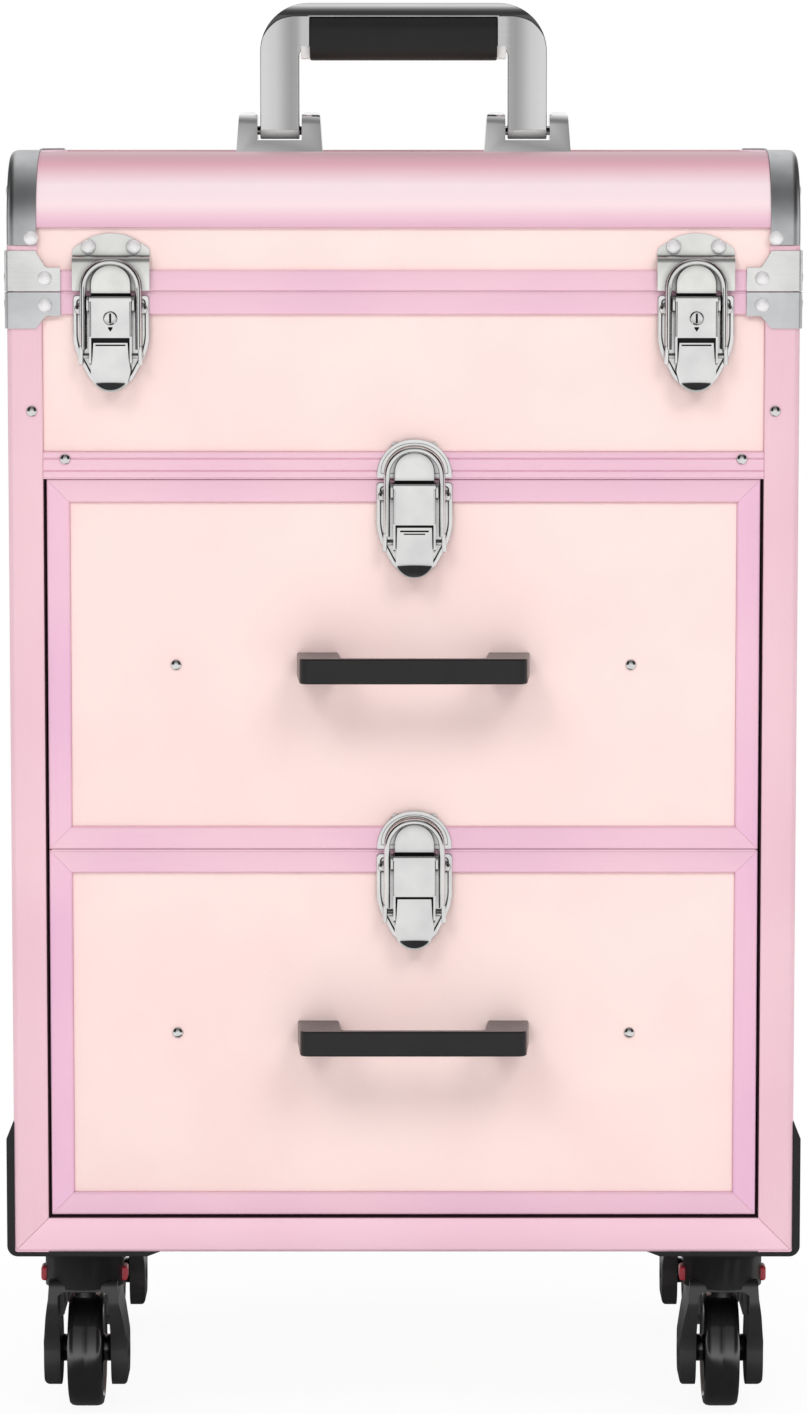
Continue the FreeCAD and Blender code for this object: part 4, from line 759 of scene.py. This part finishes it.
def latch_lever(keyed, flared):
    """The channel with its cheeks, the tab, a black block that paints the shadow inside the
    channel, and the curl.
    """
    channel = solid("XY", [(-9.6, -1.6), (-9.6, -8.4, 1.1), (9.6, -8.4, 1.1), (9.6, -1.6),
                           (8.7, -1.6), (8.7, -7.5), (-8.7, -7.5), (-8.7, -1.6)], -20.6, -3)
    roof = solid("YZ", [(-8.4, -4.2), (-8.4, -1.9, 0.9), (-3.2, -1.9, 0.8), (-3.2, -3.2)],
                 -9.6, 9.6)
    cheek = solid("YZ", [(-8.4, -33, 2.4), (-3, -33, 2.4), (-1.6, -20), (-8.4, -20)], 8.7, 9.6)
    cut(channel, roof, *both_sides(cheek), kind="UNION")
    if keyed:
        cut(channel, turn((0, -10, -11.7), (0, 1, 0), [(0, 0), (3.2, 0), (3.2, 5), (0, 5)]),
            solid("XZ", [(-1.4, -15.7, 0.4), (1.4, -15.7, 0.4), (0, -17.9, 0.3)], -10, -5))
    root, bend, neck = -7.9, -40 if flared else -38, -22.7 if keyed else -21.6
    tab = block((-10, 10), (root, root + 1.1), (-46, neck - 0.2))
    curl = solid("YZ", [(0, 0), (-2.8, -4.6, 8), (-3.2, -7.6), (-1.6, -7.8), (-1.2, -4.8, 8),
                        (1, 0)], -10, 10, 8, (root, bend))
    if flared:
        tongue = [(7.7, neck, 0.5), (8.2, -30, 30), (9.1, -35.9, 4), (7.5, -41.3, 1.5),
                  (5.7, -43.8, 9), (0, -45.5, 9)]
        moon = [(0, -40.6, 60), (6.6, -41.2), (5, -43.1, 8.4), (0, -44.4, 8.4)]
        lines = [(6.8, -24.3, 0.7)] if keyed else []
    else:
        tongue = [(7.9, neck, 0.5), (8.1, -30, 30), (8.6, -39.1, 0.6), (7, -42.7, 9.2),
                  (0, -45.4, 9.2)]
        moon = [(0, -38.7, 60), (7.9, -39.3), (6.4, -42.4, 8.8), (0, -44.7, 8.8)]
        lines = [(6.5, -23.8, 0.8), (4.9, -25, 0.6)]
    cut(tab, front_shape(tongue), kind="INTERSECT")
    cut(curl, front_shape(moon), kind="INTERSECT")
    cut(tab, front_shape(moon), *[block((-half, half), (-9, -6), (level, level + height))
                                  for half, level, height in lines])
    # A black block behind the tab: painted shadow inside the channel.
    inside = block((-8.6, 8.6), (-6.6, -6), (-31.5, -15.2))
    return (soften(channel, 0.25, 3, 30), soften(tab, 0.2, 3, 30), inside,
            soften(curl, 0.12, 2, 30))


makes = {"left_lid": (True, True), "right_lid": (True, True), "upper_drawer": (False, False),
         "lower_drawer": (False, True)}
lever_parts = {make: latch_lever(*make) for make in sorted(set(makes.values()))}
print("makes of lever:", len(lever_parts))

# %% [markdown]
# ### Wire loop and key plug
# The loop is bent from one length of wire, so its middle line is turned into a curve with the
# wire's thickness. Flat eyes hold its ends, and pins lead from them into the lever's cheeks.

# %% Wire loop and key plug
outline("XZ", -5.7, [(12.6, -26), (12.6, 13.65, 12.1), (-12.6, 13.65, 12.1), (-12.6, -26)], 10,
        filled=False)
bpy.ops.object.convert(target="CURVE")
curve = bpy.context.object.data
curve.bevel_depth = 1.45 * mm
curve.bevel_resolution = 4
curve.use_fill_caps = True
bpy.ops.object.convert(target="MESH")
wire = whole(bpy.context.object, merged(0.001), outward)
bpy.ops.object.shade_smooth_by_angle(angle=math.radians(50))
eye = solid("XZ", [(12.3, -24.4, 0.6), (14.2, -24.4, 0.6), (14.6, -33, 0.9), (12.5, -33, 0.9)],
            -7, -4.6)
pin = turn((9, -5.7, -29), (1, 0, 0), [(0, 0), (1, 0), (1, 4), (0, 4)], 16)
loop = [wire, *both_sides(soften(eye, 0.35), pin)]
plug = turn((0, -8.9, -11.7), (0, 1, 0),
            [(0, 0.15), (1.9, 0.1), (2.5, 0), (2.9, 0.35), (2.9, 3.4), (0, 3.4)], 28)
only(cut(plug, solid("XZ", [(-0.5, -13.9, 0.4), (0.5, -13.9, 0.4), (0.5, -9.5, 0.4),
                            (-0.5, -9.5, 0.4)], -10, -7.6)))
bpy.ops.object.shade_smooth_by_angle(angle=math.radians(30))
slot_shadow = block((-0.6, 0.6), (-7.75, -7.6), (-14, -9.4))
print("parts of a loop:", len(loop))

# %% [markdown]
# ### Strikes
# The drawer strikes are flat arched plates; the lid's steps back from the rail to the board in
# a rounded fold under an arched top. Both carry a raised tongue that the loop closes round.

# %% Strikes
def arched(half, foot, top, radius, bend, low, high, steps=12):
    return solid("XZ", [(-half, foot, radius), (half, foot, radius), (half, top, bend),
                        (-half, top, bend)], low, high, steps)


def tongue_boss():
    return soften(arched(9.2, -0.9, 12.4, 0.5, 8.9, -4.6, -0.5, 10), 1.5, 6, 50)


plate = solid("YZ", [(-3, 0.5), (-3, 16.2, 3.2), (0.6, 16.2, 0.3), (0.6, 31.5), (wall, 31.5),
                     (wall, 14.6, 0.5), (-1.9, 14.6, 2), (-1.9, 0.5)], -17.6, 17.6)
arch = solid("XZ", [(-17.6, 0.3, 0.6), (17.6, 0.3, 0.6), (17.6, 19.4, 3), (0, 31, 21.7),
                    (-17.6, 19.4, 3)], -4, 3, 12)
lid_strike = [soften(cut(plate, arch, kind="INTERSECT"), 0.25, 3, 35), tongue_boss()]
strike_rivets = both_sides(rivet(domed, 10.2, 0.6, 20.2))
plate = cut(arched(17.1, 0.5, 18, 0.6, 16.5, -1, 0), arched(15.3, 2.4, 16.3, 0.6, 14.8, -3, -0.7))
drawer_strike = [soften(plate, 0.25, 3, 30), block((-10, 10), (-0.2, wall), (12.4, 16.5)),
                 tongue_boss()]
gap_shadow = block((-9, 9), (-3, -0.5), (-1.95, -0.8))
print("strikes ready")

# %% Put the four latches in place
def placed(name, parts, latches, body, finish, node=None):
    """One piece made of copies of latch parts, at each of some latches."""
    copies = []
    for latch in latches:
        low, high = box_of(latch + "_latch_lever")
        place = ((low.x + high.x) / 2, front, high.z + 2.5)
        copies += [twin(part, place) for part in parts]
    fit(name, body, finish, node, *copies)


for name, make in makes.items():
    channel, tab, inside, curl = lever_parts[make]
    lever, bail, key = name + "_latch_lever", name + "_latch_bail", name + "_key_plug"
    placed(name + "_lever_and_tab", [channel, tab], [name], lever, bright_nickel, lever)
    placed(name + "_lever_inside_shadow", [inside], [name], lever, painted_shadow_black)
    placed(name + "_tab_lip", [curl], [name], lever, painted_lip_reflection)
    placed(name + "_wire_loop", loop, [name], bail, bright_nickel, bail)
    if "lid" in name:
        placed(name + "_plug", [plug], [name], key, bright_nickel, key)
        placed(name + "_plug_slot_shadow", [slot_shadow], [name], key, painted_shadow_black)
for name, above in (("upper_drawer", "cabinet"), ("lower_drawer", "upper_drawer")):
    placed(name + "_base_plate", base, [name], name, bright_nickel, name + "_latch_base")
    placed(name + "_strike_plate", drawer_strike, [name], above, bright_nickel, name + "_strike")
    placed(name + "_base_gap", [gap_shadow], [name], name, painted_shadow_black)
pair = ("left_lid", "right_lid")
placed("lid_base_plates", base, pair, "cabinet", bright_nickel, "lid_latch_bases")
placed("lid_base_gaps", [gap_shadow], pair, "cabinet", painted_shadow_black)
placed("lid_strike_plates", lid_strike, pair, "lid", strike_nickel, "lid_strikes")
placed("lid_strike_rivets", strike_rivets, pair, "lid", rivet_nickel, "lid_strikes")
remove(*base, *loop, plug, slot_shadow, *lid_strike, *strike_rivets, *drawer_strike, gap_shadow,
       *[part for parts in lever_parts.values() for part in parts])
print("latches: 4")

# %% [markdown]
# ## Drawer fronts
# Each front is a board in a mitred frame. The rails are sawn at 45 degrees and keep a tiny
# rounded edge at the saw cut, which draws the fine line across every corner.

# %% Mitred frames
drawers = ("upper_drawer", "lower_drawer")
for name in drawers:
    low, high = box_of(name + "_front_frame")
    half, bar, deep = high.x, 10.5, 12
    rails = []
    for near, way in ((low.z, 1), (high.z, -1)):
        section = [(0, 0, 0.9), (deep, 0), (deep, way * bar), (0, way * bar, 1.1)]
        rail = solid("YZ", section, -half, half, at=(front, near))
        saw(rail, (-half, front, near), (-1, 0, way))
        saw(rail, (half, front, near), (1, 0, way))
        rails.append(soften(rail, 0.16))
    stile = solid("XY", [(0, 0, 0.9), (bar, 0, 1.1), (bar, deep), (0, deep)], low.z, high.z,
                  at=(-half, front))
    saw(stile, (-half, front, low.z), (1, 0, -1))
    saw(stile, (-half, front, high.z), (1, 0, 1))
    stiles = both_sides(soften(stile, 0.16))
    fit(name + "_rails", name, mauve_across, name + "_front_frame", *rails)
    fit(name + "_stiles", name, mauve_up, name + "_front_frame", *stiles)
    dress(name + "_board", name, peach_board, name + "_front_panel", 0.3)

# %% [markdown]
# ## Shadow strips and lips
# A thin dark strip behind the opening's front edge, a painted shadow, makes the gap round the
# drawers a dark line.
# A satin lip set back a little closes the finer gaps, at the seam and above each drawer.

# %% Shadow strips and lips
under = block((-opening_half, opening_half), (front + 0.7, front + 9),
              (opening_low, opening_low + 0.9))
beside = block((-opening_half, -opening_half + 0.7), (front + 0.7, front + 9),
               (opening_low, middle_low))
fit("opening_shadow_strips", "cabinet", painted_shadow_strip, None,
    *[soften(dark_strip, 0.2) for dark_strip in (under, *both_sides(beside))])
corner = box_of("lower_drawer_front_frame")[1]
for name, body, half, near, far, low, high in (
        ("seam_lip", "cabinet", half_width - 3, 0.35, 6, rim - 0.6, lid_bottom - 0.06),
        ("opening_lip", "cabinet", opening_half, 0.35, 8, middle_low - 0.45, middle_low + 0.4),
        ("drawer_lip", "lower_drawer", corner.x - 1, 0.25, 8, corner.z - 0.4, corner.z + 0.4)):
    lip = block((-half, half), (front + near, front + far), (low, high))
    fit(name, body, mauve_across, None, soften(lip, 0.08))

# %% [markdown]
# ## Pulls
# The pull is a flat bar on two feet that lean outwards to the board: a plan seen from above,
# pulled to the bar's height, with a soft edge that shows a bright line along its top.

# %% Pulls and their rivets
rivet_reach = 104
for name in drawers:
    low, high = box_of(name + "_pull")
    tip, foot, reach, thick = 51.5, (high.x - low.x) / 2, panel_front - low.y, 19
    plan = mirrored([(tip, 0, 4), (foot, reach), (foot - thick, reach), (tip - thick, 5, 3)])
    bar = solid("XY", plan, low.z, high.z, at=((low.x + high.x) / 2, low.y))
    fit(name + "_bar", name, pull_lacquer, name + "_pull", soften(bar, 0.9, 4, 40))
    fit(name + "_board_rivets", name, bright_nickel, name + "_rivets",
        *both_sides(rivet(button, -rivet_reach, panel_front, (low.z + high.z) / 2)))

# %% [markdown]
# ## Drawer boxes
# Behind the fronts are the frame's plain open boxes on steel slides, with soft edges. A dark
# mat lines each floor, and another lies in the top compartment.

# %% Boxes, slides and mats
for name in drawers:
    dress(name + "_case", name, drawer_board, name + "_box", 0.5)
    dress(name + "_slide_members", name, runner_zinc, name + "_slides", 0.25)
    low, high = box_of(name + "_box")
    mat = block((low.x + 6.3, high.x - 6.3), (low.y + 6.3, high.y - 6.3), (low.z + 5, low.z + 7))
    fit(name + "_mat", name, dark_mat, None, soften(mat, 0.5))
dress("slide_channels", "cabinet", runner_zinc, "runner_channels", 0.25)
shelf_top = (middle_low + middle_top) / 2 + 4
mat = block((-173, 173), (front + 10.5, back - 10.5), (shelf_top, shelf_top + 2))
fit("top_compartment_mat", "cabinet", dark_mat, None, soften(mat, 0.5))

# %% [markdown]
# ## Carry handle
# The bow is one flat bar bent into a U. Along its top runs a rounded band, which tapers off
# into the bends. One solid is cut by the band's region and a copy keeps only that region, so
# they meet without a gap.

# %% Bow
bow_low, bow_high = box_of("carry_handle_bow")
grip_low, grip_high = box_of("carry_handle_grip")
pivot, carry_top, arm_out, arm_in = bow_low.z + 4, bow_high.z, bow_high.x, bow_high.x - 18.5
grip_end, grip_top = grip_high.x, grip_high.z
bow_plan = mirrored([(arm_out, carry_top, 23), (arm_out, pivot), (arm_in, pivot),
                     (arm_in, carry_top - 20.5, 4.6), (grip_end, carry_top - 20.5),
                     (grip_end, grip_top)])
band_region = mirrored([(arm_out - 11.8, grip_top, 18), (arm_out - 4.3, carry_top - 10.3, 16),
                        (arm_out + 1, carry_top - 19.5), (arm_out + 1, carry_top + 2)])
bow = solid("XZ", bow_plan, middle - 4, middle + 4, 16)
band = twin(bow)
for piece, kind in ((bow, "DIFFERENCE"), (band, "INTERSECT")):
    cut(piece, solid("XZ", band_region, middle - 9, middle + 9, 16), kind=kind)
eye = turn((arm_in, middle, pivot), (1, 0, 0), [(0, 0), (4, 0), (4, 18.5), (0, 18.5)], 32)
eyes = both_sides(soften(eye, 0.4, 2, 40))
collar = block((grip_end - 0.5, arm_in - 0.8), (middle - 4.5, middle + 4.5),
               (grip_low.z + 0.6, carry_top - 20.2))
collars = both_sides(soften(collar, 0.6, 3))
lip = block((-grip_end - 1, grip_end + 1), (middle - 4.4, middle + 4.4),
            (grip_top - 0.5, grip_top + 0.1))
# The arms' tone is a painted reflection: darker towards the inner edge of each arm, lighter
# towards the outer edge.
arm_painted_reflection = steel_with_painted_light("arm_painted_reflection", "X", 40, 70, [
    (0.0, "CACACA"), (0.27, "C2C2C2"), (0.35, "A6A6A6"), (0.44, "A0A0A0"), (0.52, "ACACAC"),
    (0.6, "BEBEBE"), (0.68, "CCCCCC"), (0.85, "D6D6D6")], 0.13)
# The band's tone is a painted reflection: dark along its foot, bright along its top.
band_painted_reflection = steel_with_painted_light("band_painted_reflection", "Z", grip_top, carry_top, [
    (0.0, "5A5A5B"), (0.1, "3A3A3B"), (0.33, "424243"), (0.48, "686869"), (0.63, "A8A8A9"),
    (0.79, "E0E0E0"), (1.0, "D0D0D0")])
# The clevises' tone is painted shade: darker towards the bottom.
clevis_painted_shade = steel_with_painted_light("clevis_painted_shade", "Z", lid_top, lid_top + 19, [
    (0.0, "E0E0E0"), (0.5, "F8F8F8"), (1.0, "FFFFFF")], 0.12)
fit("bow", "carry_handle", arm_painted_reflection, "carry_handle_bow", soften(bow, 0.8, 4, 40))
fit("handle_eyes", "carry_handle", eye_steel, "carry_handle_bow", *eyes)
fit("handle_band", "carry_handle", band_painted_reflection, "carry_handle_bow", soften(band, 0.7, 4, 50))
fit("grip_collars", "carry_handle", pale_collar, None, *collars)
fit("band_lip", "carry_handle", handle_steel, None, soften(lip, 0.2))

# %% Grip and clevises
def bar_along_x(low, high, foot_radius, top_radius):
    """A bar with rounded long edges between two corners."""
    return solid("YZ", [(low.y, low.z, foot_radius), (high.y, low.z, foot_radius),
                        (high.y, high.z, top_radius), (low.y, high.z, top_radius)],
                 low.x, high.x, 8)


fit("handle_grip", "carry_handle", grip_plastic, "carry_handle_grip",
    soften(bar_along_x(grip_low, grip_high, 6, 7), 0.9, 3, 50))
dress("handle_clevises", "lid", clevis_painted_shade, "carry_handle_brackets", 0.9, 4)

# %% [markdown]
# ## Casters
# A black bracket wraps each bottom corner and holds the caster's round housing, with red
# release tabs in its sides. The fork is drawn as its side view, pulled across, narrowed at
# the top and then slotted for the wheel.

# %% Brackets, forks and wheels
dress("corner_brackets_and_housings", "cabinet", black_plastic, "caster_brackets", 0.9, 3, 40)
dress("release_tabs", "cabinet", red_plastic, "caster_release_tabs", 1.5, 4)
side_view = [(0.5, 10.4, 14), (31, 10.4, 14), (30, 32, 10), (17, 66, 3), (-16.4, 66, 3),
             (-16.4, 54, 6), (0.5, 34, 14)]
front_view = mirrored([(15.8, 67), (16.4, 58, 12), (18, 48, 20), (19.6, 34, 20), (19.6, 10, 5)])
legs = solid("YZ", side_view, -25, 25, 10)
cut(legs, solid("XZ", front_view, -30, 50, 8), kind="INTERSECT")
cut(legs, solid("XZ", [(-11.9, 0), (11.9, 0), (11.9, 59.5), (8.9, 61.3, 1), (-8.9, 61.3, 1),
                       (-11.9, 59.5)], -25, 50))
crown = solid("XZ", [(-3, 63), (-1.6, 60.2, 1), (1.6, 60.2, 1), (3, 63)], -14, -4)
webs = both_sides(block((9.9, 12.4), (1.5, 28), (46.5, 62)))
soften(cut(legs, crown, *webs, kind="UNION"), 1.3, 4, 40)
stem = turn((0, 0, 56), (0, 0, 1), [(0, 0), (5, 0), (5, 17), (4, 18), (0, 18)])
ring = turn((0, 0, 60.6), (0, 0, 1),
            [(0, 0), (15.4, 0), (16, 0.5), (16, 1.2), (15.5, 1.6), (0, 1.6)], 48)
axle_end = turn((18, 16, 27.5), (1, 0, 0), [(0, 0), (4.4, 0), (4.4, 1.6), (3.8, 2), (1.5, 2),
                                            (1.2, 1.5), (0, 1.5)])
axle = turn((-19, 16, 27.5), (1, 0, 0), [(0, 0), (3, 0), (3, 38), (0, 38)])
fork = [legs, stem, ring, *both_sides(axle_end), axle]
half_tyre = [(3.3, 0.0), (6.2, 0.0), (6.4, 0.3), (6.4, 3.4), (7.6, 4.0), (20.5, 4.0),
             (21.2, 4.5), (22.3, 4.5), (23, 3.6), (24.6, 3.6), (26.1, 3.9), (27.0, 4.9),
             (27.4, 6.6), (27.46, 11.3), (27.36, 11.5), (27.36, 11.7)]
tyre = half_tyre + [(radius, 23.4 - along) for radius, along in reversed(half_tyre)]
wheel = turn((-11.7, 0, 0), (1, 0, 0), tyre + [tyre[0]], 72)
for name in ("front_left", "front_right", "rear_left", "rear_right"):
    caster = name + "_caster"
    low, high = box_of(caster + "_wheel")
    centre = (low + high) / 2
    fit(caster + "_fork_and_stem", caster + "_fork", fork_plastic, caster + "_fork",
        *[twin(part, (centre.x, centre.y - 16, 0)) for part in fork])
    fit(caster + "_tyre", caster + "_wheel", tyre_rubber, caster + "_wheel", twin(wheel, centre))
remove(*fork, wheel)
print("casters: 4")

# %% [markdown]
# ## Pull-along handle and hinges
# The telescopic handle stands against the back: two fixed sleeves in plastic holders, two
# sliding stages and a grip, all drawn afresh, with a hair of play between the metal and the
# plastic. The button is the frame's own, with soft edges.

# %% Tubes and holders
low, high = box_of("trolley_sleeves")


def tube_section(inset):
    x, y = (high.x - 24 + inset, high.x - 4 - inset), (high.y - 15.6 + inset, high.y - 1.6 - inset)
    radius = 3 - inset / 2
    return [(x[0], y[0], radius), (x[1], y[0], radius), (x[1], y[1], radius), (x[0], y[1], radius)]


def tubes(name, inset, foot, top, body, node):
    """A pair of thin-walled tubes with softened ends."""
    tube = cut(solid("XY", tube_section(inset), foot, top),
               solid("XY", tube_section(inset + 1.1), foot - 1, top + 1))
    fit(name, body, tube_aluminium, node, *both_sides(soften(tube, 0.2, 2, 50)))


holders = [cut(block((low.x, high.x), (low.y, high.y), (foot, foot + 20)),
               *both_sides(solid("XY", tube_section(-0.1), foot - 1, foot + 21)))
           for foot in (low.z, high.z - 20)]
fit("sleeve_holders", "cabinet", black_plastic, "trolley_sleeves",
    *[soften(holder, 0.8, 3, 50) for holder in holders])
tubes("outer_sleeves", 0, low.z, high.z, "cabinet", "trolley_sleeves")
tubes("middle_stage_tubes", 1.4, low.z + 4, high.z, "trolley_middle_tubes",
      "trolley_middle_tubes")

# %% Grip and hinges
pull_low, pull_high = box_of("trolley_grip")
button_low, button_high = box_of("trolley_button")
grip_foot = pull_high.z - 25.5
bar = cut(bar_along_x(Vector((pull_low.x, pull_low.y, grip_foot)), pull_high, 6, 6),
          block((button_low.x - 0.4, button_high.x + 0.4),
                (button_low.y - 0.4, button_high.y + 0.4), (pull_high.z - 8.9, pull_high.z + 2)))
fit("pull_handle_bar", "trolley_grip", grip_plastic, "trolley_grip", soften(bar, 0.6, 3, 50))
tubes("inner_stage_tubes", 2.8, pull_low.z, grip_foot + 1, "trolley_grip", "trolley_grip")
dress("pull_handle_button", "trolley_button", black_plastic, "trolley_button", 0.8, 3)
dress("hinge_leaves_on_body", "cabinet", bright_nickel, "body_hinge_leaves", 0.2)
dress("hinge_leaves_on_lid", "lid", bright_nickel, "lid_hinge_leaves", 0.2)

# %% [markdown]
# ## Studio
# Rays that go straight to the camera see plain white; mirrored rays see white walls with dark
# gaps, which draw the streaks on the nickel. Two large soft lamps high in front give the soft
# shadows under the pulls and latches, one fills in low down and one lights the back.

# %% World
def rays(finish):
    """Whether a ray comes from the camera, from a mirror, or through something clear."""
    return [finish.add("LightPath", {}, {}, kind)
            for kind in ("Is Camera Ray", "Is Glossy Ray", "Is Transmission Ray")]


def blend(finish, factor, first, second):
    return finish.add("MixShader", {}, {0: factor, 1: first, 2: second})


world = bpy.data.worlds.new("studio")
bpy.context.scene.world = world
world.use_nodes = True
sky = Finish.__new__(Finish)
sky.tree = world.node_tree
sky.tree.nodes.clear()
camera_ray, mirror_ray, clear_ray = rays(sky)
way = sky.add("TexCoord", {}, {}, 0)
x, y, z = [sky.add("SeparateXYZ", {}, {0: way}, axis) for axis in range(3)]
tilt = sky.add("Math", {"operation": "ARCTAN2"}, {0: z, 1: y * -1})
heights = sky.graded(tilt * (1 / math.pi), (0.0, 1.05), (0.05, 0.7), (0.14, 0.38), (0.23, 0.2),
                     (0.32, 0.2), (0.43, 0.36), (0.54, 0.65), (0.7, 0.95), (1.0, 0.85))
sides = sky.graded(abs(x), (0.0, 1.0), (0.28, 1.0), (0.4, 0.28), (0.55, 0.05), (0.86, 0.07),
                   (0.95, 0.9), (1.0, 1.0))
walls = sky.mixed(1.0, heights, sides, "MULTIPLY")
plain, mirror, white = [sky.add("Background", {}, {0: shade, 1: strength}) for shade, strength
                        in ((paint(1.0), 0.62), (walls, 1.0), (paint(1.0), 1.0))]
seen = blend(sky, camera_ray + clear_ray, blend(sky, mirror_ray, plain, mirror), white)
out = sky.tree.nodes.new("ShaderNodeOutputWorld")
sky.tree.links.new(seen.socket, out.inputs[0])
print("world nodes:", len(sky.tree.nodes))

# %% Lamps
only()
for name, place, aim, size, power in (
        ("left_softbox", (-1500, front - 2600, 3000), (0, front, 350), 1400, 36),
        ("right_softbox", (1500, front - 2600, 3000), (0, front, 350), 1400, 36),
        ("back_softbox", (0, back + 3000, 350), (0, back, 320), 1600, 60),
        ("low_fill", (0, front - 1400, 60), (0, front, 150), 900, 3.2)):
    start, target = Vector(place) * mm, Vector(aim) * mm
    turned = (target - start).to_track_quat("-Z", "Y").to_euler()
    bpy.ops.object.light_add(type="AREA", location=start, rotation=turned)
    lamp = bpy.context.object
    lamp.name = name
    lamp.data.shape = "SQUARE"
    lamp.data.size = size * mm
    lamp.data.energy = power
    lamp.visible_glossy = False
print("lamps: 4")

# %% [markdown]
# ## Floor
# The floor fades to plain white away from the case, so it has no visible edge. Mirrored rays
# that meet it under the case see a dark patch, a painted dark reflection on the tyres.

# %% Floor
bpy.ops.mesh.primitive_plane_add(size=12, location=(0, 0, -0.0005))
floor = bpy.context.object
floor.name = "studio_floor"
ground = Finish("studio_floor")
tint = ground.graded(ground.noise(400, detail=1), (0.4, "F4F4F4"), (0.6, "F7F7F7"))
ground.fill(ground.shader, {"Base Color": tint, "Roughness": 0.9})
away = ground.add("VectorMath", {"operation": "LENGTH"}, {0: ground.place()}, 1)
far = ground.graded(away, (0.15, 0.92), (0.4, 1.0))
# Painted reflection: close under the case, mirrored rays see a dark patch.
under = ground.graded(away, (0.22, 0.97), (0.27, 0.7), (0.34, 0.0))
camera_ray, mirror_ray, clear_ray = rays(ground)
glow, gloom = [ground.add("Emission", {}, {0: paint(level), 1: 1.0}) for level in (1.0, 0.03)]
shader = Value(ground, ground.shader.outputs[0])
lit = blend(ground, far * (camera_ray + mirror_ray + clear_ray), shader, glow)
lit = blend(ground, under * mirror_ray, lit, gloom)
ground.tree.links.new(lit.socket, ground.tree.nodes["Material Output"].inputs[0])
floor.data.materials.append(ground.material)
print("floor staged")
